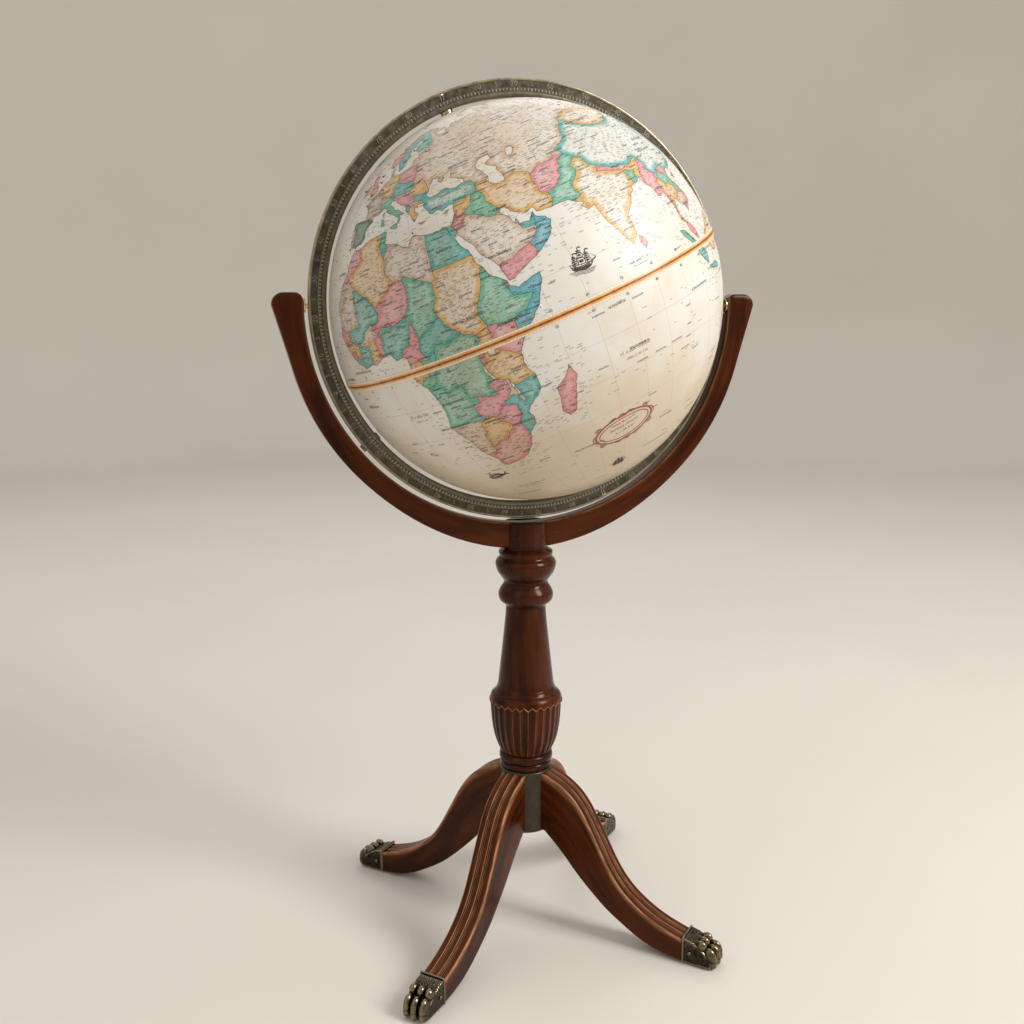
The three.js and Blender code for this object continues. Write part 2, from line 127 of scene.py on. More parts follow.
# ------------------------------------------------------------------ shader graph
@dataclass(frozen=True)
class Term:
    """One output socket, used in arithmetic; every operator adds a Math node."""

    graph: "Graph"
    socket: bpy.types.NodeSocket

    def __add__(self, other: "Term | float") -> "Term":
        """Returns the sum."""
        return self.graph.math("ADD", self, other)

    __radd__ = __add__

    def __sub__(self, other: "Term | float") -> "Term":
        """Returns the difference."""
        return self.graph.math("SUBTRACT", self, other)

    def __rsub__(self, other: "Term | float") -> "Term":
        """Returns the reflected difference."""
        return self.graph.math("SUBTRACT", other, self)

    def __mul__(self, other: "Term | float") -> "Term":
        """Returns the product."""
        return self.graph.math("MULTIPLY", self, other)

    __rmul__ = __mul__

    def __truediv__(self, other: "Term | float") -> "Term":
        """Returns the quotient."""
        return self.graph.math("DIVIDE", self, other)

    def __rtruediv__(self, other: "Term | float") -> "Term":
        """Returns the reflected quotient."""
        return self.graph.math("DIVIDE", other, self)

    def __gt__(self, other: "Term | float") -> "Term":
        """Returns 1 where this is greater."""
        return self.graph.math("GREATER_THAN", self, other)

    def __lt__(self, other: "Term | float") -> "Term":
        """Returns 1 where this is less."""
        return self.graph.math("LESS_THAN", self, other)

    def __abs__(self) -> "Term":
        """Returns the absolute value."""
        return self.graph.math("ABSOLUTE", self)

    def out(self, name: str) -> "Term":
        """Returns another output of the same node."""
        return Term(self.graph, self.socket.node.outputs[name])


class Graph:
    """A material's node tree, with one method that adds any node."""

    def __init__(self, name: str) -> None:
        """Starts an empty material.

        Args:
            name: the material's name.
        """
        self.material = bpy.data.materials.new(name)
        self.material.use_nodes = True
        self.tree = self.material.node_tree
        self.tree.nodes.clear()

    def node(self, kind: str, settings: dict | None = None, inputs: dict | None = None) -> Term:
        """Adds a node.

        Args:
            kind: the node's type.
            settings: properties set first.
            inputs: a value or a Term for each named or numbered socket.

        Returns:
            The node's first enabled output.
        """
        made = self.tree.nodes.new(kind)
        for key, value in (settings or {}).items():
            setattr(made, key, value)
        for key, value in (inputs or {}).items():
            if isinstance(value, Term):
                self.tree.links.new(value.socket, made.inputs[key])
            else:
                made.inputs[key].default_value = value
        return Term(self, next(o for o in made.outputs if o.enabled))

    def math(self, operation: str, *values: Term | float) -> Term:
        """Returns a Math node of these values."""
        return self.node("ShaderNodeMath", {"operation": operation}, dict(enumerate(values)))

    def clamp(self, value: Term) -> Term:
        """Returns the value held between 0 and 1."""
        return self.node("ShaderNodeClamp", None, {"Value": value})

    def rise(self, value: Term, low: float | Term, high: float | Term) -> Term:
        """Returns 0 below low and 1 above high, smooth between."""
        inputs = {"Value": value, "From Min": low, "From Max": high}
        return self.node("ShaderNodeMapRange", {"interpolation_type": "SMOOTHSTEP"}, inputs)

    def mix(self, share: Term | float, a: Term | Colour, b: Term | Colour, blend: str = "MIX") -> Term:
        """Mixes two colours.

        Args:
            share: how much of the second, from 0 to 1.
            a: the first colour.
            b: the second colour.
            blend: how they meet.

        Returns:
            The mixed colour.
        """
        settings = {"data_type": "RGBA", "blend_type": blend}
        made = self.node("ShaderNodeMix", settings, {0: share, 6: a, 7: b})
        return Term(self, made.socket.node.outputs[2])

    def vector(self, operation: str, *values: Term | Sequence[float]) -> Term:
        """Returns a Vector Math node of these vectors."""
        return self.node("ShaderNodeVectorMath", {"operation": operation}, dict(enumerate(values)))

    def axes(self, vector: Term) -> tuple[Term, Term, Term]:
        """Returns a vector's three parts."""
        parts = self.node("ShaderNodeSeparateXYZ", None, {0: vector})
        return parts, parts.out("Y"), parts.out("Z")

    def joined(self, x: Term | float, y: Term | float, z: Term | float) -> Term:
        """Returns a vector of three parts."""
        return self.node("ShaderNodeCombineXYZ", None, {0: x, 1: y, 2: z})

    def place(self) -> Term:
        """Returns the Object coordinates, in metres."""
        return self.node("ShaderNodeTexCoord").out("Object")

    def stored(self, name: str, part: str = "Vector") -> Term:
        """Returns the piece's own attribute of that name."""
        return self.node("ShaderNodeAttribute", {"attribute_name": name}).out(part)

    def grain(self, at: Term, scale: float, detail: float = 2.0, distortion: float = 0.0) -> Term:
        """Returns fractal noise from 0 to 1 at a coordinate."""
        inputs = {"Vector": at, "Scale": scale, "Detail": detail, "Distortion": distortion}
        return self.node("ShaderNodeTexNoise", None, inputs)

    def bump(self, height: Term, distance: float, strength: float = 1.0) -> Term:
        """Returns a normal raised by height times distance, in metres."""
        return self.node("ShaderNodeBump", None, {"Height": height, "Distance": distance, "Strength": strength})

    def surface(self, **inputs: Term | float | Colour) -> bpy.types.Material:
        """Closes the graph with a Principled shader.

        Args:
            inputs: its sockets, with underscores for spaces.

        Returns:
            The finished material.
        """
        named = {key.replace("_", " "): value for key, value in inputs.items()}
        shader = self.node("ShaderNodeBsdfPrincipled", None, named)
        output = self.tree.nodes.new("ShaderNodeOutputMaterial")
        self.tree.links.new(shader.socket, output.inputs["Surface"])
        return self.material


# ------------------------------------------------------------------ finishes
@dataclass(frozen=True)
class Finish:
    """A finish that makes its material once; each kind's build takes an empty graph and returns the material."""

    name: str
    made: ClassVar[dict[str, bpy.types.Material]] = {}

    def material(self) -> bpy.types.Material:
        """Returns the material, made on first use."""
        if self.name not in Finish.made:
            Finish.made[self.name] = self.build(Graph(self.name))
        return Finish.made[self.name]

    def build(self, g: Graph) -> bpy.types.Material:
        """Returns the material built in an empty graph."""
        raise NotImplementedError


@dataclass(frozen=True)
class Wood(Finish):
    """French-polished mahogany; the "grain" attribute gives place in metres, its X along the fibres.

    Colours run from the pores and the painted shade in the hollows to the edges, lightened by wear and by painted
    highlight lines; sheen tints the reflection at a right angle.
    """

    dark: Colour = (0.0065, 0.0015, 0.0006, 1)
    body: Colour = (0.037, 0.0068, 0.0015, 1)
    light: Colour = (0.086, 0.0185, 0.0038, 1)
    # light edge colour: worn wood and painted highlight
    worn: Colour = (0.58, 0.29, 0.14, 1)
    sheen: Colour = (1.0, 0.60, 0.38, 1)
    polish: float = 0.25
    coat: float = 0.11

    def build(self, g: Graph) -> bpy.types.Material:
        """Returns the material built in an empty graph."""
        at = g.stored("grain")
        broad = g.grain(g.vector("MULTIPLY", at, (5, 26, 26)), 1, 3, 0.6)
        ribbon = g.grain(g.vector("MULTIPLY", at, (9, 150, 150)), 1, 4, 0.35)
        pores = g.grain(g.vector("MULTIPLY", at, (70, 1500, 1500)), 1, 2)
        pits = 1 - g.rise(pores, 0.34, 0.44)
        figure = g.rise(ribbon * 0.6 + broad * 0.4, 0.34, 0.66)
        tone = g.mix(figure, self.body, self.light)
        tone = g.mix(1 - g.rise(broad, 0.3, 0.52), tone, g.mix(0.62, self.body, self.dark))
        tone = g.mix(pits * 0.4, tone, self.dark)
        # edge lines: worn wood, lightened further as a painted highlight
        wear_and_highlight_patches = g.grain(g.vector("MULTIPLY", at, (45, 420, 420)), 1, 3)
        wear = g.clamp(g.stored("wear", "Fac") * (g.rise(wear_and_highlight_patches, 0.3, 0.62) * 0.65 + 0.35))
        tone = g.mix(wear * 0.82, tone, self.worn)
        # painted shade: the necks, flutes and reed quirks darkened towards the dark colour
        soot = g.clamp(g.stored("hollow", "Fac"))
        tone = g.mix(soot * 0.72, tone, self.dark)
        haze = g.grain(g.place(), 38, 3)
        rough = g.clamp(haze * 0.16 + pits * 0.12 + wear * 0.14 + (self.polish - 0.08))
        relief = g.bump(ribbon * 0.35 - pits, 0.00004, 0.5)
        return g.surface(Base_Color=tone, Roughness=rough, Normal=relief, Coat_Weight=self.coat, Coat_Roughness=0.12,
                         Specular_IOR_Level=0.15, Specular_Tint=self.sheen)


@dataclass(frozen=True)
class Metal(Finish):
    """Patinated metal: dark in the hollows, rubbed bright where the "crest" attribute stands proud."""

    hollow: Colour
    body: Colour
    rubbed: Colour
    rough: float = 0.36
    metallic: float = 0.9
    rub: float = 1.0
    pitting: float = 0.00005
    mottle: float = 240.0

    def build(self, g: Graph) -> bpy.types.Material:
        """Returns the material built in an empty graph."""
        at = g.place()
        crest = g.stored("crest", "Fac")
        cloud = g.grain(at, self.mottle, 4, 0.4)
        speck = g.grain(at, self.mottle * 6, 3)
        tone = g.mix(g.rise(cloud + speck * 0.3, 0.42, 0.86), self.hollow, self.body)
        proud = g.clamp(crest * self.rub * (cloud * 0.9 + 0.55))
        tone = g.mix(proud, tone, self.rubbed)
        sunk = g.clamp(0 - crest)
        tone = g.mix(g.clamp(sunk * 1.4), tone, self.hollow)
        rough = g.clamp(cloud * 0.22 - proud * 0.12 + sunk * 0.3 + (self.rough - 0.1))
        metal = g.clamp(proud * 0.2 - sunk * 0.5 + self.metallic)
        relief = g.bump(speck * 0.6 + cloud, self.pitting)
        return g.surface(Base_Color=tone, Roughness=rough, Metallic=metal, Normal=relief)


@dataclass(frozen=True)
class Fibre(Finish):
    """Felt or pressed board: matt, with short fibres."""

    low: Colour
    high: Colour
    scale: float = 900.0

    def build(self, g: Graph) -> bpy.types.Material:
        """Returns the material built in an empty graph."""
        at = g.place()
        fibres = g.grain(g.vector("MULTIPLY", at, (1, 2.2, 1)), self.scale, 4, 1.2)
        tone = g.mix(g.rise(fibres, 0.3, 0.7), self.low, self.high)
        return g.surface(Base_Color=tone, Roughness=0.95, Normal=g.bump(fibres, 0.0002), Specular_IOR_Level=0.2)


@dataclass(frozen=True)
class Ink(Finish):
    """Printer's ink, thin and uneven, on the varnished map."""

    thin: Colour
    full: Colour

    def build(self, g: Graph) -> bpy.types.Material:
        """Returns the material built in an empty graph."""
        patch = g.grain(g.place(), 700, 3)
        tone = g.mix(g.rise(patch, 0.35, 0.62), self.thin, self.full)
        rough = g.clamp(patch * 0.2 + 0.4)
        return g.surface(Base_Color=tone, Roughness=rough)


@dataclass(frozen=True)
class Plaster(Finish):
    """The pale floor and sweep of the studio."""

    low: Colour = (0.66, 0.625, 0.58, 1)
    high: Colour = (0.74, 0.705, 0.655, 1)

    def build(self, g: Graph) -> bpy.types.Material:
        """Returns the material built in an empty graph."""
        cloud = g.grain(g.place(), 1.3, 4)
        tone = g.mix(cloud, self.low, self.high)
        return g.surface(Base_Color=tone, Roughness=0.8)


# ------------------------------------------------------------------ printed map: tints and outlines
class Tint(Enum):
    """Printing tints of the map, as linear colours."""

    SAND = (0.86, 0.66, 0.53, 1)
    BROWN = (0.64, 0.49, 0.38, 1)
    OCHRE = (0.93, 0.57, 0.17, 1)
    ROSE = (0.93, 0.36, 0.42, 1)
    TEAL = (0.13, 0.60, 0.58, 1)
    GREEN = (0.18, 0.64, 0.47, 1)
    BLUE = (0.11, 0.54, 0.70, 1)
    MOSS = (0.09, 0.28, 0.20, 1)
    ICE = (0.80, 0.80, 0.76, 1)


# Land outlines: name, tint, depth of the wash inland, then longitude and latitude in tenths of a degree.
LANDS: tuple[tuple[str, Tint, float, str], ...] = (
    ("africa", Tint.SAND, 0.3, """-59 358 -29 353 -6 358 30 368 78 370 98 373 111 370 107 358 108 347 101 339 111 335
        132 329 152 324 166 312 192 303 200 321 217 329 232 323 240 320 252 316 272 313 299 312 312 316 323 313 326
        299 338 272 343 261 358 239 369 220 373 196 386 180 395 156 412 145 428 130 433 115 450 104 480 112 513 118
        512 104 498 80 480 45 454 20 425 -4 409 -23 397 -41 393 -68 395 -89 406 -107 407 -150 369 -179 349 -198 354
        -220 354 -239 326 -260 310 -299 279 -330 257 -340 200 -348 184 -340 182 -317 164 -286 151 -266 145 -229 118
        -173 134 -126 132 -88 123 -60 118 -48 96 -24 87 -7 94 4 98 19 96 40 83 46 61 43 45 63 12 61 -2 55 -21 47 -40
        52 -75 44 -108 63 -132 85 -137 95 -158 118 -167 134 -175 147 -165 160 -161 181 -170 209 -159 237 -145 261 -129
        279 -96 304 -92 323 -76 336 -68 341"""),
    ("eurasia", Tint.SAND, 0.34, """324 313 342 313 350 328 355 339 358 355 362 366 346 368 325 361 307 369 292 363
        282 368 269 384 262 395 262 401 268 406 252 409 240 407 243 401 230 403 228 393 240 380 231 373 225 365 216
        370 212 383 200 396 194 405 194 419 170 432 152 443 145 453 136 450 136 457 123 453 124 442 136 435 143 424
        161 418 185 402 179 399 169 404 166 396 171 390 161 380 157 380 160 396 150 402 140 409 122 418 105 429 102
        439 88 444 75 437 62 431 47 434 31 431 32 419 8 410 -3 394 2 387 -7 377 -21 368 -44 367 -54 361 -63 367 -89
        370 -94 387 -88 405 -88 420 -92 431 -79 437 -38 435 -16 434 -12 447 -13 461 -26 474 -46 481 -30 488 -15 487
        -17 496 2 496 16 506 32 514 44 524 54 533 85 537 83 555 82 570 106 576 103 562 98 550 109 543 124 543 143 540
        185 547 199 545 211 556 212 573 226 576 243 573 237 589 280 596 300 600 277 605 230 599 214 612 215 631 253
        651 223 658 210 645 176 622 172 607 188 598 167 584 163 566 143 555 129 555 113 586 105 593 82 581 56 588 51
        610 80 632 113 648 136 672 178 692 235 707 282 710 310 703 333 693 408 676 410 666 345 666 328 671 349 645 380
        640 404 647 400 662 439 661 440 683 460 670 538 687 605 696 668 686 682 684 670 700 668 713 690 729 728 726
        728 690 742 685 743 718 805 724 820 736 870 750 985 763 1043 777 1120 764 1135 736 1190 731 1270 734 1300 710
        1395 723 1525 708 1600 697 1705 690 1800 688 1850 670 1902 660 1830 646 1800 650 1775 626 1700 600 1632 580
        1630 560 1600 532 1567 510 1559 560 1630 615 1600 608 1565 615 1510 593 1425 593 1355 548 1410 532 1403 490
        1355 440 1320 432 1307 423 1275 398 1293 370 1290 352 1264 345 1266 372 1250 385 1240 398 1215 389 1210 408
        1180 391 1190 373 1224 373 1193 350 1218 320 1219 300 1200 266 1165 232 1135 221 1104 212 1098 204 1096 216
        1080 216 1058 190 1075 166 1092 135 1090 114 1068 104 1050 87 1048 103 1025 121 1009 134 999 122 993 93 1004
        73 1034 44 1041 14 1034 14 1007 39 1003 65 983 80 986 110 976 165 954 158 943 162 944 185 923 208 918 226 903
        219 870 214 868 205 852 196 823 167 801 153 803 133 798 103 782 88 775 81 762 102 747 135 734 163 728 192 727
        213 707 208 690 222 704 229 682 237 668 250 640 253 616 251 573 257 569 271 547 265 516 278 501 300 485 300
        480 294 486 283 501 267 502 256 508 248 508 256 513 261 516 249 514 243 542 242 561 259 564 245 586 236 598
        224 587 204 578 189 553 173 522 156 491 145 450 128 435 127 427 155 426 168 410 192 391 213 384 236 365 262
        349 281 349 295 343 278 333 286 326 299"""),
    ("britain", Tint.ROSE, 0.8, """-55 501 -30 506 10 508 15 526 -2 540 -20 559 -20 575 -42 576 -50 586 -62 568 -48
        545 -30 541 -45 532 -52 520 -28 516"""),
    ("ireland", Tint.OCHRE, 0.8, "-100 516 -63 522 -55 545 -75 553 -100 542 -95 530"),
    ("iceland", Tint.TEAL, 0.5, "-243 655 -225 663 -160 665 -136 650 -185 634 -227 638"),
    ("svalbard", Tint.ROSE, 0.4, "110 795 200 806 270 801 210 785 170 766"),
    ("novaya", Tint.SAND, 0.4, "515 717 570 708 560 730 690 767 610 762 530 735"),
    ("madagascar", Tint.ROSE, 0.9, """493 -120 505 -155 495 -172 483 -213 471 -249 450 -255 436 -235 443 -200 444 -165
        475 -148"""),
    ("ceylon", Tint.ROSE, 0.9, "798 98 812 86 818 71 806 60 798 72"),
    ("sumatra", Tint.TEAL, 0.7, "954 56 975 52 1005 21 1035 -10 1060 -30 1058 -58 1045 -57 1015 -28 988 15 963 37"),
    ("java", Tint.TEAL, 0.7, "1052 -67 1085 -66 1110 -64 1144 -78 1142 -87 1100 -82 1065 -74"),
    ("borneo", Tint.OCHRE, 0.5, """1090 15 1112 25 1140 45 1169 70 1191 52 1178 30 1178 8 1162 -40 1145 -40 1115 -34
        1101 -15"""),
    ("celebes", Tint.ROSE, 0.7, """1195 5 1220 10 1250 15 1212 -8 1232 -10 1215 -25 1228 -45 1205 -28 1203 -55 1190
        -35"""),
    ("papua", Tint.GREEN, 0.6, """1310 -8 1340 -8 1380 -17 1420 -27 1455 -45 1478 -60 1505 -105 1470 -95 1440 -76 1400
        -82 1375 -75 1385 -55 1330 -40"""),
    ("luzon", Tint.OCHRE, 0.8, "1203 160 1205 184 1222 184 1215 157 1240 130 1207 137"),
    ("mindanao", Tint.ROSE, 0.8, "1220 70 1235 85 1256 98 1265 72 1254 56"),
    ("formosa", Tint.OCHRE, 0.9, "1201 230 1216 252 1209 220"),
    ("hainan", Tint.TEAL, 0.7, "1086 192 1104 201 1107 192 1095 182"),
    ("honshu", Tint.ROSE, 0.7, """1300 316 1297 332 1309 340 1327 355 1360 358 1372 374 1395 390 1400 412 1415 412
        1420 395 1409 380 1406 355 1388 346 1358 334 1320 337 1318 312"""),
    ("hokkaido", Tint.ROSE, 0.7, "1400 415 1404 432 1418 455 1453 440 1432 420"),
    ("sakhalin", Tint.SAND, 0.4, "1420 460 1422 540 1433 543 1445 490 1434 463"),
    ("australia", Tint.SAND, 0.18, """1135 -220 1137 -263 1157 -317 1150 -342 1180 -350 1236 -339 1262 -322 1311 -315
        1355 -348 1378 -329 1372 -350 1396 -370 1435 -388 1463 -391 1499 -375 1530 -313 1531 -260 1509 -232 1488 -200
        1461 -180 1455 -150 1437 -143 1425 -107 1417 -125 1410 -170 1395 -175 1358 -152 1368 -121 1325 -113 1297 -149
        1258 -140 1222 -175 1193 -199 1167 -205"""),
    ("tasmania", Tint.GREEN, 0.8, "1446 -408 1483 -408 1480 -429 1460 -435"),
    ("zealand_north", Tint.ROSE, 0.8, "1727 -345 1755 -368 1785 -378 1768 -405 1752 -415 1740 -393 1748 -380"),
    ("zealand_south", Tint.OCHRE, 0.8, "1728 -406 1743 -418 1710 -450 1693 -466 1665 -460 1700 -430"),
    ("sicily", Tint.GREEN, 0.8, "124 380 155 382 151 367 126 375"),
    ("sardinia", Tint.GREEN, 0.8, "82 409 97 409 96 391 85 390"),
    ("corsica", Tint.BROWN, 0.8, "86 424 94 429 94 414"),
    ("crete", Tint.ROSE, 0.8, "235 355 262 353 248 348"),
    ("cyprus", Tint.OCHRE, 0.8, "323 350 345 356 336 347"),
    ("greenland", Tint.ICE, 0.1, """-730 783 -620 813 -450 825 -320 836 -200 820 -180 800 -200 765 -220 730 -240 705
        -320 682 -400 650 -430 600 -480 610 -525 655 -510 697 -545 710 -580 755 -680 760"""),
    ("north_america", Tint.SAND, 0.12, """-1680 656 -1620 665 -1640 680 -1660 684 -1565 713 -1410 696 -1280 705 -1150
        688 -1080 680 -960 682 -940 720 -850 697 -815 690 -865 665 -935 615 -925 570 -825 552 -800 515 -788 525 -770
        550 -780 585 -775 625 -700 612 -650 600 -620 570 -555 522 -600 503 -660 502 -645 485 -612 457 -655 435 -700
        437 -705 417 -740 405 -755 375 -760 350 -810 315 -801 268 -804 252 -818 262 -828 285 -840 301 -890 304 -940
        295 -972 275 -978 225 -960 190 -945 181 -910 190 -905 210 -870 215 -883 158 -832 158 -835 110 -800 92 -773 86
        -790 73 -830 82 -857 100 -875 131 -920 145 -945 160 -1000 168 -1055 200 -1057 228 -1095 255 -1125 300 -1147
        317 -1125 275 -1095 230 -1122 248 -1150 280 -1172 326 -1206 345 -1224 375 -1244 404 -1240 462 -1230 490 -1280
        510 -1305 545 -1340 583 -1400 597 -1480 601 -1515 592 -1545 584 -1600 555 -1640 548 -1580 573 -1575 587 -1620
        587 -1655 608 -1640 630 -1610 637 -1610 645"""),
    ("baffin", Tint.SAND, 0.2, """-900 735 -800 738 -700 710 -615 665 -650 625 -720 645 -775 655 -730 682 -790 700
        -885 702"""),
    ("victoria", Tint.SAND, 0.2, "-1250 720 -1180 735 -1080 730 -1020 700 -1100 685 -1170 695"),
    ("ellesmere", Tint.SAND, 0.2, "-900 765 -790 763 -620 823 -750 830 -910 815"),
    ("newfoundland", Tint.ROSE, 0.7, "-592 478 -560 515 -555 497 -530 475 -555 468"),
    ("cuba", Tint.OCHRE, 0.8, "-849 219 -825 231 -797 228 -743 202 -775 199 -785 210"),
    ("hispaniola", Tint.ROSE, 0.8, "-743 199 -700 198 -684 186 -714 177 -743 183"),
    ("jamaica", Tint.TEAL, 0.9, "-783 184 -763 181 -770 178"),
    ("south_america", Tint.SAND, 0.15, """-773 86 -755 107 -717 124 -705 115 -640 106 -619 99 -600 85 -570 60 -517 42
        -500 10 -480 -8 -442 -25 -400 -29 -352 -52 -348 -80 -371 -112 -390 -145 -392 -178 -409 -220 -435 -230 -482
        -258 -487 -285 -520 -330 -545 -349 -580 -343 -567 -365 -578 -382 -622 -390 -625 -410 -651 -410 -643 -425 -673
        -455 -659 -475 -690 -503 -685 -525 -650 -548 -685 -555 -725 -540 -755 -510 -755 -468 -735 -417 -735 -372 -715
        -300 -703 -185 -760 -140 -790 -80 -813 -60 -802 -30 -800 0 -785 20 -775 40 -775 70"""),
    ("antarctica", Tint.ICE, 0.05, """-1800 -840 -1580 -780 -1450 -755 -1100 -742 -1000 -725 -750 -730 -670 -675 -575
        -633 -610 -660 -600 -740 -780 -780 -600 -800 -350 -780 -120 -713 0 -702 250 -700 400 -690 560 -660 700 -690
        800 -672 1100 -662 1350 -660 1500 -685 1700 -715 1620 -780 1800 -840 1800 -900 -1800 -900"""),
)

WATERS: tuple[str, ...] = (
    """280 419 291 412 314 413 333 420 351 421 364 413 383 410 414 414 416 424 390 440 374 447 382 466 392 471 368 467
        350 462 354 454 336 445 326 455 335 461 318 465 307 464 296 453 286 436 277 426""",
    """475 454 492 465 515 469 530 466 532 453 512 445 504 443 524 425 537 421 528 410 538 392 539 372 517 366 499 374
        489 384 494 402 483 420 475 430 468 445""",
    "583 440 596 462 615 467 618 450 600 436",
    "317 2 335 3 341 -3 335 -24 319 -24 317 -10",
    "293 -33 296 -50 312 -84 305 -82 290 -55",
    "341 -97 347 -120 353 -143 348 -143 340 -115",
    "1040 517 1060 529 1097 557 1092 538 1075 518",
    "-921 468 -880 488 -845 465 -850 450 -860 418 -875 420 -878 450",
    "-845 463 -800 458 -825 418 -835 415 -830 437",
    "-830 413 -790 427 -790 434 -765 436 -765 432 -800 428",
)

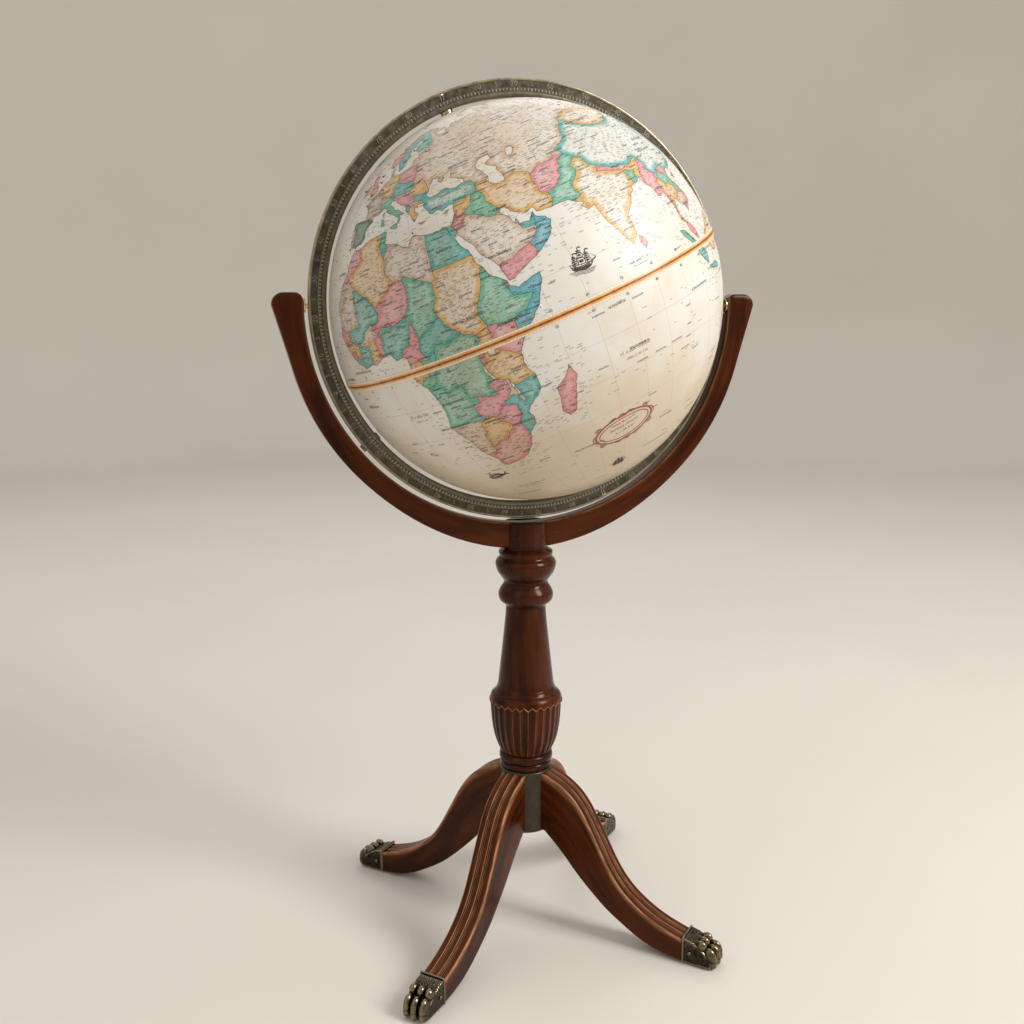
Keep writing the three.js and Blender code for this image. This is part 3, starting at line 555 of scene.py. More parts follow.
# Countries, later ones over earlier ones; the sea cuts whatever runs past the coast.
COUNTRIES: tuple[tuple[Tint, float, str], ...] = (
    (Tint.ROSE, 0.75, "-140 280 -87 277 -87 288 -50 300 -12 322 -18 355 -60 370 -110 330"),
    (Tint.OCHRE, 0.55, """-87 274 -48 250 12 211 33 190 58 194 119 235 94 262 96 300 82 325 76 338 83 353 86 375 -22
        370 -17 350 -12 322 -50 300 -87 288"""),
    (Tint.TEAL, 0.95, "94 301 82 325 75 338 82 350 85 376 120 376 120 330 115 332 103 318"),
    (Tint.SAND, 0.42, "94 262 119 235 150 230 160 235 240 195 252 200 252 335 105 340 115 324 102 315 95 300"),
    (Tint.SAND, 0.5, """-172 208 -130 213 -130 230 -120 234 -120 260 -87 260 -87 274 -48 250 -55 155 -120 148 -166 162
        -185 180"""),
    (Tint.TEAL, 0.7, """-122 148 -94 154 -55 155 -66 250 -48 250 12 211 33 190 42 165 35 153 2 150 -30 137 -53 115 -80
        103 -114 122"""),
    (Tint.ROSE, 0.8, "-180 124 -114 122 -122 148 -165 166 -190 150"),
    (Tint.OCHRE, 0.8, "-160 108 -137 126 -114 122 -80 110 -79 85 -94 74 -106 85 -133 90 -150 95"),
    (Tint.ROSE, 0.8, "-136 92 -106 97 -105 80 -115 66 -140 72"),
    (Tint.TEAL, 0.85, "-116 68 -105 82 -94 75 -83 65 -75 38 -110 45"),
    (Tint.TEAL, 0.8, "-83 70 -80 103 -55 104 -28 97 -28 55 -30 42 -75 38 -76 55"),
    (Tint.SAND, 0.7, "-55 108 -30 138 2 150 23 125 9 110 -28 110 -28 97 -55 103"),
    (Tint.OCHRE, 0.85, "-29 110 0 111 6 85 13 60 12 43 -31 40 -30 60"),
    (Tint.ROSE, 0.85, "0 111 24 123 38 115 28 90 27 50 10 50 6 85"),
    (Tint.TEAL, 0.8, """27 58 28 90 36 117 41 135 70 130 90 128 136 137 142 123 132 96 118 70 92 64 86 42 60 33 27
        48"""),
    (Tint.ROSE, 0.8, """3 149 35 153 42 168 42 191 58 195 120 235 150 230 159 200 155 165 135 140 90 128 70 131 41 135
        24 120 10 133"""),
    (Tint.GREEN, 0.8, """150 230 160 235 240 195 240 157 223 130 230 110 190 90 155 75 145 98 151 103 145 127 135 140
        155 165 159 200"""),
    (Tint.OCHRE, 0.32, """240 195 250 200 250 220 313 220 376 220 390 180 370 171 365 143 342 106 330 80 344 47 308 36
        274 52 240 87 230 110 223 130 240 157"""),
    (Tint.TEAL, 0.85, "250 220 313 220 331 220 374 220 349 295 342 317 330 330 250 330"),
    (Tint.GREEN, 0.75, """365 143 370 171 386 186 434 127 427 110 430 90 478 80 450 50 420 42 395 35 360 45 345 47 330
        80 342 106"""),
    (Tint.ROSE, 0.9, "420 126 437 127 434 110 420 110"),
    (Tint.BLUE, 0.9, "427 110 432 120 519 124 519 104 465 10 419 -24 410 -9 410 30 420 42 450 50 479 80 430 90"),
    (Tint.ROSE, 0.72, "341 43 360 45 395 35 419 42 410 30 410 -9 418 -22 393 -52 377 -36 340 -10 340 10 350 20"),
    (Tint.OCHRE, 0.7, "297 -13 340 -10 345 12 340 43 309 37 312 22 297 5"),
    (Tint.OCHRE, 0.68, """306 -10 340 -10 377 -36 393 -51 415 -70 412 -105 380 -114 347 -115 339 -96 310 -85 294 -60
        295 -43"""),
    (Tint.ROSE, 0.9, "290 -13 308 -12 306 -40 293 -44"),
    (Tint.TEAL, 0.85, "145 45 153 74 190 90 230 110 240 87 274 52 224 41 186 34 162 22 150 40"),
    (Tint.ROSE, 0.85, "86 47 92 64 118 70 132 96 142 126 151 100 154 76 144 45 162 20 130 23 93 23 84 35"),
    (Tint.OCHRE, 0.85, "80 -10 90 10 113 10 113 23 132 22 143 10 140 -20 115 -42 95 -45"),
    (Tint.GREEN, 0.8, "110 -39 120 -20 144 -20 140 14 133 22 162 21 186 35 178 4 162 -20 153 -46 129 -47 117 -56"),
    (Tint.GREEN, 0.66, """115 -62 130 -47 153 -45 162 -20 178 4 186 35 196 50 224 42 274 52 309 36 312 22 297 5 292
        -30 294 -60 308 -83 285 -90 298 -122 285 -124 254 -115 220 -110 218 -73 195 -70 170 -80 160 -59"""),
    (Tint.GREEN, 0.75, """113 -60 165 -59 170 -80 195 -70 218 -73 220 -110 240 -109 240 -130 220 -130 220 -163 233
        -176 185 -174 140 -174 105 -174 105 -120"""),
    (Tint.ROSE, 0.88, """220 -130 240 -130 240 -109 254 -115 285 -124 298 -122 285 -90 308 -83 330 -94 333 -125 303
        -156 289 -159 270 -179 253 -178 220 -163"""),
    (Tint.TEAL, 0.85, """346 -116 415 -105 420 -150 365 -200 365 -250 335 -272 320 -268 319 -240 314 -223 328 -200 330
        -167 303 -158 303 -149 330 -140 344 -144 353 -170 359 -160 349 -135"""),
    (Tint.ROSE, 0.88, "253 -178 270 -179 289 -159 304 -157 330 -167 327 -195 313 -224 294 -222 278 -206"),
    (Tint.OCHRE, 0.8, """200 -183 253 -178 278 -206 294 -222 270 -238 256 -257 228 -254 207 -269 200 -248 200 -220 210
        -220"""),
    (Tint.SAND, 0.8, """105 -173 140 -174 185 -174 233 -176 253 -178 210 -183 210 -220 200 -220 200 -284 174 -288 155
        -288"""),
    (Tint.ROSE, 0.62, """155 -287 174 -289 200 -284 200 -248 207 -269 228 -254 256 -257 270 -238 294 -222 313 -224 320
        -240 320 -268 335 -272 345 -300 280 -365 175 -365 150 -320"""),
    (Tint.TEAL, 0.38, """255 402 257 416 262 422 282 421 310 424 415 416 436 410 448 396 442 375 423 372 390 368 366
        363 358 356 350 352 260 350"""),
    (Tint.OCHRE, 0.85, "352 360 366 365 390 368 423 372 412 345 387 334 367 324 357 328 351 345"),
    (Tint.ROSE, 0.85, "338 308 346 345 365 345 358 328 368 324 388 334 392 320 370 315 380 304 360 292 349 294"),
    (Tint.GREEN, 0.85, """423 372 446 372 462 352 455 339 477 310 488 300 478 298 466 291 447 292 420 310 392 321 388
        334 412 345"""),
    (Tint.OCHRE, 0.5, """446 396 480 395 489 384 500 366 539 373 570 382 612 366 608 343 610 314 627 288 632 272 618
        248 570 248 540 258 500 278 484 300 477 310 455 339 462 352 446 372"""),
    (Tint.SAND, 0.45, """349 294 360 292 380 305 370 315 392 321 420 310 447 292 466 291 490 281 512 248 516 242 520
        230 552 226 557 220 520 190 488 183 464 172 434 175 424 164 375 200 340 280"""),
    (Tint.BLUE, 0.85, "520 190 557 220 552 226 558 242 564 267 610 225 585 172 530 160 528 173"),
    (Tint.TEAL, 0.6, "508 262 515 262 514 242 520 230 552 226 558 242 564 265 540 250 517 246"),
    (Tint.ROSE, 0.9, "422 165 434 175 464 172 488 183 520 190 531 165 500 137 440 117 420 140"),
    (Tint.ROSE, 0.72, """612 355 650 373 680 370 715 380 749 373 713 360 710 340 695 335 693 319 665 300 662 295 625
        293 609 299 610 315 605 335"""),
    (Tint.GREEN, 0.7, """627 288 663 296 665 300 693 319 695 335 710 340 715 365 749 371 770 355 740 333 750 320 730
        300 700 280 710 250 688 243 680 228 613 246 632 272"""),
    (Tint.OCHRE, 0.12, """682 232 688 244 710 249 700 280 730 300 747 315 740 333 770 355 788 340 790 320 810 303 802
        288 880 264 897 267 920 269 973 283 970 272 940 240 932 222 913 235 920 250 898 259 883 258 886 242 890 213
        860 178 800 78 770 73 715 150 695 200"""),
    (Tint.ROSE, 0.9, "802 288 810 303 860 280 882 278 880 264"),
    (Tint.GREEN, 0.9, "886 242 883 259 898 259 923 250 913 235 924 206 900 208 890 213"),
    (Tint.ROSE, 0.75, """924 206 932 222 942 240 972 278 987 257 976 239 993 220 1011 215 980 195 980 175 989 145 994
        110 986 96 970 120 938 150 936 185"""),
    (Tint.OCHRE, 0.75, """980 196 1001 204 1012 176 1040 183 1056 150 1025 135 1028 118 1005 118 995 90 1022 62 1000
        62 978 80 993 118 989 145 980 175"""),
    (Tint.GREEN, 0.8, "1001 204 1022 224 1049 200 1075 160 1076 143 1056 142 1047 165 1040 183 1012 176"),
    (Tint.ROSE, 0.8, """1022 224 1054 233 1084 214 1065 185 1103 140 1090 98 1048 80 1050 106 1065 115 1076 125 1076
        160 1049 200"""),
    (Tint.SAND, 0.7, "1025 135 1056 143 1076 143 1075 124 1064 113 1045 100 1025 112"),
    (Tint.ROSE, 0.8, "1000 65 1022 62 1040 48 1045 10 1030 10 1000 40"),
    (Tint.TEAL, 0.08, """737 395 800 420 825 452 855 470 878 491 910 452 964 427 1050 416 1118 437 1199 467 1160 480
        1198 530 1255 530 1276 498 1310 477 1348 484 1330 450 1310 428 1269 418 1243 400 1220 372 1235 310 1205 250
        1120 200 1080 212 1054 233 1022 224 1012 215 993 221 976 239 987 257 973 283 920 270 882 279 860 280 810 303
        790 320 788 340 770 355 749 372"""),
    (Tint.OCHRE, 0.3, """878 491 923 508 980 520 1022 513 1070 500 1130 496 1167 498 1160 480 1199 467 1118 437 1050
        416 964 427 910 452"""),
    (Tint.ROSE, 0.8, "1243 400 1269 418 1300 424 1310 420 1300 340 1255 340 1246 372"),
    (Tint.MOSS, 0.9, "-95 441 -18 433 33 424 40 410 0 368 -54 357 -74 370 -70 419 -89 421"),
    (Tint.ROSE, 0.9, "-99 365 -74 369 -70 419 -93 421"),
    (Tint.BROWN, 0.8, "-52 485 -18 433 33 424 76 435 70 460 80 490 25 513 -20 502"),
    (Tint.OCHRE, 0.8, """25 513 61 495 75 490 72 472 105 472 130 478 122 502 146 510 142 542 100 552 84 540 60 522 30
        518"""),
    (Tint.GREEN, 0.85, "76 436 70 459 105 466 135 465 138 455 130 440 190 403 165 376 150 380 95 425"),
    (Tint.ROSE, 0.85, "137 466 162 469 190 460 214 446 228 440 226 422 205 420 190 420 130 448"),
    (Tint.BLUE, 0.9, "193 418 206 419 210 408 205 396 195 396"),
    (Tint.OCHRE, 0.85, "200 396 210 409 230 414 262 418 262 405 245 400 245 370 225 360 205 372"),
    (Tint.TEAL, 0.85, "226 440 228 422 262 418 282 420 287 440 250 437"),
    (Tint.OCHRE, 0.9, "210 462 228 480 266 482 282 468 282 452 288 437 250 437 226 444"),
    (Tint.TEAL, 0.9, "122 502 146 510 150 508 190 495 225 490 228 480 210 461 162 466 137 466 95 472 130 478"),
    (Tint.ROSE, 0.85, "142 542 146 510 190 495 228 490 240 520 233 545 190 546"),
    (Tint.TEAL, 0.85, """110 590 128 616 122 638 152 662 183 686 206 693 240 682 240 656 180 630 200 595 163 560 125
        552"""),
    (Tint.ROSE, 0.85, """45 580 80 578 108 588 128 616 122 638 152 662 183 686 206 693 290 697 310 705 250 716 100 660
        40 620"""),
    (Tint.TEAL, 0.85, "206 693 240 682 240 658 208 630 208 597 280 603 315 628 295 665 290 697 260 699"),
    (Tint.ROSE, 0.1, """-1410 700 -1410 600 -1300 560 -1220 490 -950 490 -820 450 -700 450 -670 450 -500 460 -600
        700"""),
    (Tint.GREEN, 0.12, """-1240 490 -950 490 -890 480 -820 455 -820 425 -760 437 -715 450 -670 473 -650 440 -700 400
        -740 300 -790 240 -850 285 -970 255 -1000 290 -1050 306 -1110 313 -1172 325 -1250 400"""),
    (Tint.TEAL, 0.9, "-1700 725 -1410 700 -1410 600 -1300 555 -1340 540 -1690 520 -1700 600"),
    (Tint.OCHRE, 0.55, """-1172 325 -1110 313 -1050 306 -1000 290 -970 258 -950 200 -860 220 -880 160 -920 145 -1100
        180 -1170 270"""),
    (Tint.TEAL, 0.8, "-922 145 -890 160 -830 160 -770 95 -780 70 -880 110"),
    (Tint.OCHRE, 0.3, """-520 45 -600 50 -650 20 -700 -30 -735 -75 -700 -110 -650 -110 -580 -180 -580 -220 -540 -250
        -575 -300 -530 -335 -340 -100 -330 -40 -480 10"""),
    (Tint.ROSE, 0.5, """-665 -220 -630 -220 -580 -250 -545 -260 -575 -300 -560 -420 -640 -560 -690 -550 -720 -500 -700
        -300"""),
    (Tint.GREEN, 0.8, "-690 -180 -740 -180 -800 -560 -720 -560 -720 -500 -705 -300"),
    (Tint.TEAL, 0.7, "-820 -35 -750 -20 -700 -40 -735 -75 -700 -110 -690 -180 -780 -180 -830 -60"),
    (Tint.ROSE, 0.75, "-690 -180 -700 -110 -650 -110 -580 -180 -580 -200 -630 -220 -665 -220"),
    (Tint.ROSE, 0.7, "-790 80 -770 90 -725 125 -715 110 -725 75 -675 60 -670 12 -700 0 -750 0 -790 15"),
    (Tint.GREEN, 0.7, "-725 125 -715 110 -725 75 -675 60 -670 12 -640 15 -605 45 -600 95 -640 120"),
    (Tint.TEAL, 0.8, "-605 90 -605 40 -600 15 -520 20 -500 60"),
    (Tint.ROSE, 0.3, "1120 -130 1290 -140 1290 -320 1120 -360"),
    (Tint.TEAL, 0.3, "1380 -90 1410 -260 1530 -283 1600 -200 1430 -90"),
    (Tint.OCHRE, 0.3, "1290 -100 1380 -100 1380 -260 1290 -260"),
    (Tint.GREEN, 0.4, "1410 -290 1530 -283 1560 -330 1500 -380 1410 -340"),
)


@dataclass(frozen=True)
class MapPaper(Finish):
    """Varnished map gores: aged paper with painted shade towards the south, washed tints, border and coast lines,
    graticule, relief and place marks.
    """

    cream: Colour = (0.745, 0.735, 0.695, 1)
    tan: Colour = (0.67, 0.59, 0.465, 1)
    # amber of the southern darkening: partly aged paper, partly painted shade
    amber: Colour = (0.50, 0.375, 0.215, 1)
    ink: Colour = (0.022, 0.016, 0.013, 1)
    faint: Colour = (0.33, 0.28, 0.23, 1)
    river: Colour = (0.10, 0.17, 0.19, 1)
    brown: Colour = (0.34, 0.20, 0.11, 1)
    pitch: float = 10.0

    def words(self, g: Graph, north: Term, east: Term, row: float, cell: float, tall: float, odds: Term,
              seed: float) -> Term:
        """Draws unreadable place marks in rows along the parallels.

        Args:
            g: the graph.
            north: distance from the equator, in mm.
            east: longitude in radians.
            row: row height in mm.
            cell: length of one word's cell in mm.
            tall: height of the marks in mm.
            odds: how likely a cell is to hold a word.
            seed: offset for the random values.

        Returns:
            1 on a stroke and 0 off it.
        """
        radius = BALL_RADIUS / MM
        line = g.math("FLOOR", north / row)
        middle = (line + 0.5) * row
        along = east * g.math("COSINE", middle / radius) * radius
        shift = g.node("ShaderNodeTexWhiteNoise", {"noise_dimensions": "1D"}, {"W": line + seed})
        across = along / cell + shift * 17
        column = g.math("FLOOR", across)
        chance = g.node("ShaderNodeTexWhiteNoise", {"noise_dimensions": "3D"}, {"Vector": g.joined(line, column, seed)})
        red, green, _ = g.axes(chance.out("Color"))
        inside = (across - column) * cell
        start = red * (cell * 0.25)
        end = start + cell * 0.3 + green * (cell * 0.42)
        held = (inside > start) * (inside < end) * (abs(north - middle - (green - 0.5) * (row - tall)) < tall / 2)
        strokes = g.grain(g.joined(along / (tall * 0.36), north / (tall * 0.5), seed), 1, 1)
        return held * (chance < odds) * g.rise(strokes, 0.43, 0.5)

    def build(self, g: Graph) -> bpy.types.Material:
        """Returns the material built in an empty graph."""
        radius = BALL_RADIUS / MM
        at = g.place()
        x, y, z = g.axes(g.vector("SUBTRACT", at, tuple(BALL_CENTRE)))
        px = x * math.cos(TILT) + z * math.sin(TILT)
        pz = z * math.cos(TILT) - x * math.sin(TILT)
        latitude = g.math("ARCSINE", pz / BALL_RADIUS)
        longitude = g.math("ARCTAN2", y, px) - FIRST_MERIDIAN
        north = latitude * radius
        around = g.math("COSINE", latitude) * radius

        tint, wash = g.stored("tint", "Color"), g.stored("wash", "Fac")
        land, edge, coast = g.stored("land", "Fac"), g.stored("edge", "Fac"), g.stored("coast", "Fac")
        sea = 1 - land

        cloud = g.grain(at, 11, 4, 0.5)
        blot = g.grain(at, 60, 4, 0.3)
        fibre = g.grain(at, 900, 3)
        # paper age mottle, plus painted shade darkening it towards the south pole; also slightly darker towards the
        # north pole
        age_and_shade = cloud * 0.75 + blot * 0.25 + g.rise(0 - latitude, 0.15, 1.15) * 0.3 + g.rise(latitude, 0.7, 1.3) * 0.1
        paper = g.mix(g.rise(age_and_shade, 0.40, 0.74), self.cream, self.tan)
        paper = g.mix(g.rise(blot, 0.62, 0.8) * 0.35, paper, self.tan)
        # painted shade: amber laid over the southern half, deepest at the south pole, its edge broken by the mottle
        low = g.rise(0 - latitude + (cloud - 0.5) * 0.5, 0.05, 1.25)
        paper = g.mix(low * 0.62, paper, self.amber)

        ragged = edge + (blot - 0.5) * 5 + (fibre - 0.5) * 1.2
        band = 1 - g.rise(ragged, 1.4, 7.6)
        deep = g.clamp(wash * (blot * 0.7 + 0.55))
        depth = g.clamp(g.math("MAXIMUM", band * 0.97, deep)) * land
        tone = g.mix(depth * 0.97, paper, g.mix(1, paper, tint, "MULTIPLY"))
        tone = g.mix(g.clamp(band - 0.55) * land * 0.4, tone, g.vector("MULTIPLY", tint, (0.55, 0.55, 0.55)))

        hills = g.grain(at, 34, 3, 0.2)
        folds = g.grain(at, 340, 3, 1.6)
        hachure = g.rise(folds, 0.54, 0.6) * g.rise(hills, 0.5, 0.6) * land
        tone = g.mix(hachure * 0.42, tone, self.brown)
        flow = abs(g.grain(at, 46, 4, 0.8) - 0.5)
        second = abs(g.grain(g.vector("ADD", at, (3.1, 1.7, 0.4)), 70, 4, 0.8) - 0.5)
        rivers = g.math("MAXIMUM", 1 - g.rise(flow, 0.002, 0.007), 1 - g.rise(second, 0.002, 0.008)) * land
        tone = g.mix(rivers * 0.5, tone, self.river)

        step = math.radians(self.pitch)
        off_parallel = abs(g.math("FRACT", latitude / step + 20.5) - 0.5) * (step * radius)
        off_meridian = abs(g.math("FRACT", longitude / step + 40.5) - 0.5) * step * around
        polar = abs(latitude) < math.radians(81)
        grid = g.math("MAXIMUM", 1 - g.rise(off_parallel, 0.1, 0.32), (1 - g.rise(off_meridian, 0.1, 0.32)) * polar)
        tone = g.mix(grid * (0.5 - land * 0.25), tone, self.faint)

        near = 1 - g.rise(coast, 4.0, 26.0)
        crowd = g.grain(at, 18, 2)
        often = land * 0.62 + sea * near * 0.34 + sea * crowd * 0.07
        small = self.words(g, north, longitude, 2.2, 8.5, 1.0, often, 3.0)
        middle = self.words(g, north, longitude, 5.6, 21.0, 1.6, land * 0.42 + sea * 0.08, 11.0)
        large = self.words(g, north, longitude, 15.0, 46.0, 2.4, land * 0.30 + sea * 0.10, 23.0)
        marks = g.math("MAXIMUM", small * 0.66, g.math("MAXIMUM", middle * 0.85, large * 0.8))
        clear = g.rise(abs(north), 5.4, 6.2) * (1 - g.rise(abs(latitude), 1.1, 1.32))
        tone = g.mix(marks * clear, tone, self.ink)
        dots = g.node("ShaderNodeTexVoronoi", {"feature": "F1"}, {"Vector": at, "Scale": 115})
        town = (dots * 1.0 < 0.055) * land
        tone = g.mix(town * 0.85, tone, self.ink)

        border = (1 - g.rise(edge, 0.14, 0.42)) * (0.5 + fibre * 0.35)
        shore = 1 - g.rise(coast, 0.16, 0.5)
        tone = g.mix(g.clamp(g.math("MAXIMUM", border, shore * 0.8)), tone, self.ink)
        shallows = (1 - g.rise(coast, 0.6, 4.2)) * sea
        tone = g.mix(shallows * 0.22, tone, self.tan)

        rough = g.clamp(blot * 0.14 + marks * 0.06 + 0.36)
        return g.surface(Base_Color=tone, Roughness=rough, Normal=g.bump(fibre, 0.00002, 0.5), Coat_Weight=0.2,
                         Coat_Roughness=0.3)


@dataclass(frozen=True)
class BandPaper(Finish):
    """The equator strip: orange, with dark edge lines and a ruled centre line of one-degree dashes."""

    orange: Colour = (0.70, 0.27, 0.05, 1)
    pale: Colour = (0.84, 0.49, 0.19, 1)
    ink: Colour = (0.17, 0.048, 0.012, 1)
    paper: Colour = (0.84, 0.77, 0.65, 1)

    def build(self, g: Graph) -> bpy.types.Material:
        """Returns the material built in an empty graph."""
        at = g.place()
        x, y, z = g.axes(g.vector("SUBTRACT", at, tuple(BALL_CENTRE)))
        px = x * math.cos(TILT) + z * math.sin(TILT)
        north = abs(z * math.cos(TILT) - x * math.sin(TILT)) / MM
        turn = g.math("ARCTAN2", y, px) - FIRST_MERIDIAN
        blot = g.grain(at, 90, 4)
        tone = g.mix(g.rise(blot, 0.3, 0.7), self.orange, self.pale)
        dash = g.math("FRACT", turn / math.radians(2) + 200) < 0.5
        centre = 1 - g.rise(north, 0.65, 1.2)
        tone = g.mix(centre * (dash * 0.1 + 0.86), tone, self.ink)
        glow = g.rise(north, 1.5, 2.6)
        tone = g.mix(glow * 0.6, tone, self.pale)
        tone = g.mix(g.rise(north, 2.5, 3.1), tone, self.paper)
        tick = abs(g.math("FRACT", turn / math.radians(1) + 400.5) - 0.5) < 0.05
        tone = g.mix(tick * g.rise(north, 2.7, 3.0) * 0.55, tone, self.ink)
        rough = g.clamp(blot * 0.15 + 0.36)
        return g.surface(Base_Color=tone, Roughness=rough, Coat_Weight=0.2, Coat_Roughness=0.3)


# Metals give the colours of hollows, body and rubbed crests, then how rough, metallic, rubbed and pitted they are.
MAHOGANY = Wood("polished_mahogany")
DEEP_MAHOGANY = Wood("deep_mahogany", body=(0.027, 0.0054, 0.0015, 1), light=(0.058, 0.0130, 0.0032, 1),
                     polish=0.21, coat=0.16)
OLIVE_IRON = Metal("olive_hub", (0.036, 0.027, 0.017, 1), (0.058, 0.044, 0.027, 1), (0.13, 0.105, 0.07, 1),
                   0.34, 0.6, 0.8, 0.00002, 120)
RING_BRONZE = Metal("ring_bronze", (0.050, 0.044, 0.032, 1), (0.112, 0.099, 0.074, 1), (0.28, 0.25, 0.18, 1),
                    0.42, 0.76, 1.0, 0.00003, 160)
RAISED_BRONZE = Metal("raised_bronze", (0.15, 0.135, 0.10, 1), (0.30, 0.27, 0.20, 1), (0.44, 0.395, 0.29, 1),
                      0.4, 0.75)
BEAD_BRASS = Metal("bead_brass", (0.20, 0.17, 0.105, 1), (0.40, 0.35, 0.235, 1), (0.58, 0.51, 0.36, 1),
                   0.34, 0.9, 0.7, 0.00002, 90)
PAW_BRASS = Metal("paw_brass", (0.010, 0.009, 0.006, 1), (0.055, 0.046, 0.029, 1), (0.52, 0.42, 0.25, 1),
                  0.25, 0.95, 0.85, 0.00008, 300)
BRIGHT_BRASS = Metal("screw_brass", (0.10, 0.07, 0.03, 1), (0.56, 0.42, 0.19, 1), (0.85, 0.70, 0.42, 1), 0.24, 1.0)
DARK_STEEL = Metal("dark_steel", (0.06, 0.06, 0.06, 1), (0.30, 0.30, 0.29, 1), (0.55, 0.54, 0.52, 1), 0.4, 0.95)
MAP_PAPER = MapPaper("map_gores")
BAND_PAPER = BandPaper("equator_band")
BOARD = Fibre("pressed_board", (0.20, 0.14, 0.085, 1), (0.36, 0.27, 0.17, 1), 500)
FELT = Fibre("foot_felt", (0.014, 0.011, 0.008, 1), (0.05, 0.041, 0.032, 1))
BLACK_INK = Ink("black_ink", (0.10, 0.07, 0.05, 1), (0.02, 0.015, 0.012, 1))
RED_INK = Ink("red_ink", (0.42, 0.15, 0.10, 1), (0.20, 0.035, 0.025, 1))


# ------------------------------------------------------------------ making pieces
def spline(points: Sequence[Pair], gap: float, corner: float = 50.0) -> list[Pair]:
    """Smooths an outline, keeping corners sharper than an angle.

    Args:
        points: the outline's points.
        gap: wanted distance between the new points.
        corner: turn in degrees at which a point stays sharp.

    Returns:
        The denser outline.
    """
    path = [Vector(p) for p in points]

    def bend(i: int) -> bool:
        """Tells whether a point stays sharp."""
        if i in (0, len(path) - 1):
            return True
        return (path[i] - path[i - 1]).angle(path[i + 1] - path[i], 0) > math.radians(corner)

    made: list[Pair] = []
    for i in range(len(path) - 1):
        p1, p2 = path[i], path[i + 1]
        p0 = p1 - (p2 - p1) if bend(i) else path[i - 1]
        p3 = p2 + (p2 - p1) if bend(i + 1) else path[i + 2]
        steps = max(1, round((p2 - p1).length / gap))
        for k in range(steps):
            t = k / steps
            spot = 0.5 * (2 * p1 + (p2 - p0) * t + (2 * p0 - 5 * p1 + 4 * p2 - p3) * t * t
                          + (3 * p1 - 3 * p2 + p3 - p0) * t * t * t)
            made.append((spot.x, spot.y))
    made.append((path[-1].x, path[-1].y))
    return made


def scaled(points: Iterable[Pair], scale: float = MM) -> list[Pair]:
    """Returns millimetre points in metres."""
    return [(a * scale, b * scale) for a, b in points]


def spun(profile: Sequence[Pair], steps: int, bore: float = 0.0) -> bmesh.types.BMesh:
    """Turns a (radius, height) outline about Z into a closed body.

    Args:
        profile: the outline, bottom to top.
        steps: faces round the axis.
        bore: radius of the hole down the middle.

    Returns:
        The turned mesh.
    """
    bm = bmesh.new()
    outline = [(bore, profile[0][1]), *profile, (bore, profile[-1][1])]
    verts = [bm.verts.new((r, 0, z)) for r, z in outline]
    pairs = list(zip(verts, verts[1:]))
    if bore:
        pairs.append((verts[-1], verts[0]))
    edges = [bm.edges.new(pair) for pair in pairs]
    bmesh.ops.spin(bm, geom=verts + edges, cent=(0, 0, 0), axis=(0, 0, 1), angle=TURN, steps=steps, use_merge=True)
    bmesh.ops.remove_doubles(bm, verts=bm.verts, dist=1e-6)
    bmesh.ops.recalc_face_normals(bm, faces=bm.faces)
    return bm


def woven(rows: Sequence[Sequence[Vector]], capped: bool = True) -> bmesh.types.BMesh:
    """Skins equal rings of points with quads.

    Args:
        rows: rings of points, each closed on itself.
        capped: whether the first and last ring are filled.

    Returns:
        The skinned mesh.
    """
    bm = bmesh.new()
    across, along = len(rows[0]), len(rows)
    made = bmesh.ops.create_grid(bm, x_segments=across, y_segments=along - 1, size=1)["verts"]
    for vert in made:
        i = round((vert.co.x + 1) / 2 * across) % across
        j = round((vert.co.y + 1) / 2 * (along - 1))
        vert.co = rows[j][i]
    bmesh.ops.remove_doubles(bm, verts=bm.verts, dist=1e-7)
    if capped:
        bmesh.ops.holes_fill(bm, edges=[e for e in bm.edges if e.is_boundary], sides=0)
    bmesh.ops.recalc_face_normals(bm, faces=bm.faces)
    return bm


def joined(*parts: bmesh.types.BMesh) -> bmesh.types.BMesh:
    """Puts several meshes into one and frees them."""
    whole = bmesh.new()
    for part in parts:
        mesh = bpy.data.meshes.new("part")
        part.to_mesh(mesh)
        part.free()
        whole.from_mesh(mesh)
        bpy.data.meshes.remove(mesh)
    return whole


def block(size: Sequence[float], middle: Sequence[float], edge: float = 0.0, rounds: int = 2) -> bmesh.types.BMesh:
    """Makes a box.

    Args:
        size: its three sides.
        middle: its middle point.
        edge: the rounding of its edges.
        rounds: steps in each rounding.

    Returns:
        The box.
    """
    bm = bmesh.new()
    bmesh.ops.create_cube(bm, size=1)
    bmesh.ops.scale(bm, vec=size, verts=bm.verts)
    if edge:
        bmesh.ops.bevel(bm, geom=bm.edges[:], offset=edge, segments=rounds, profile=0.5, affect="EDGES", material=-1)
    bmesh.ops.translate(bm, vec=middle, verts=bm.verts)
    return bm


def points_of(mesh: bpy.types.Mesh) -> np.ndarray:
    """Reads a mesh's vertices.

    Args:
        mesh: the mesh.

    Returns:
        Their places, one row each.
    """
    flat = np.zeros(len(mesh.vertices) * 3, np.float32)
    mesh.vertices.foreach_get("co", flat)
    return flat.reshape(-1, 3)


def write(mesh: bpy.types.Mesh, name: str, kind: str, domain: str, values: np.ndarray) -> None:
    """Stores an attribute.

    Args:
        mesh: the mesh.
        name: the attribute's name.
        kind: FLOAT, FLOAT_VECTOR or FLOAT_COLOR.
        domain: POINT or CORNER.
        values: one row or number for each element.
    """
    key = {"FLOAT": "value", "FLOAT_VECTOR": "vector", "FLOAT_COLOR": "color"}[kind]
    mesh.attributes.new(name, kind, domain).data.foreach_set(key, np.ascontiguousarray(values, np.float32).ravel())


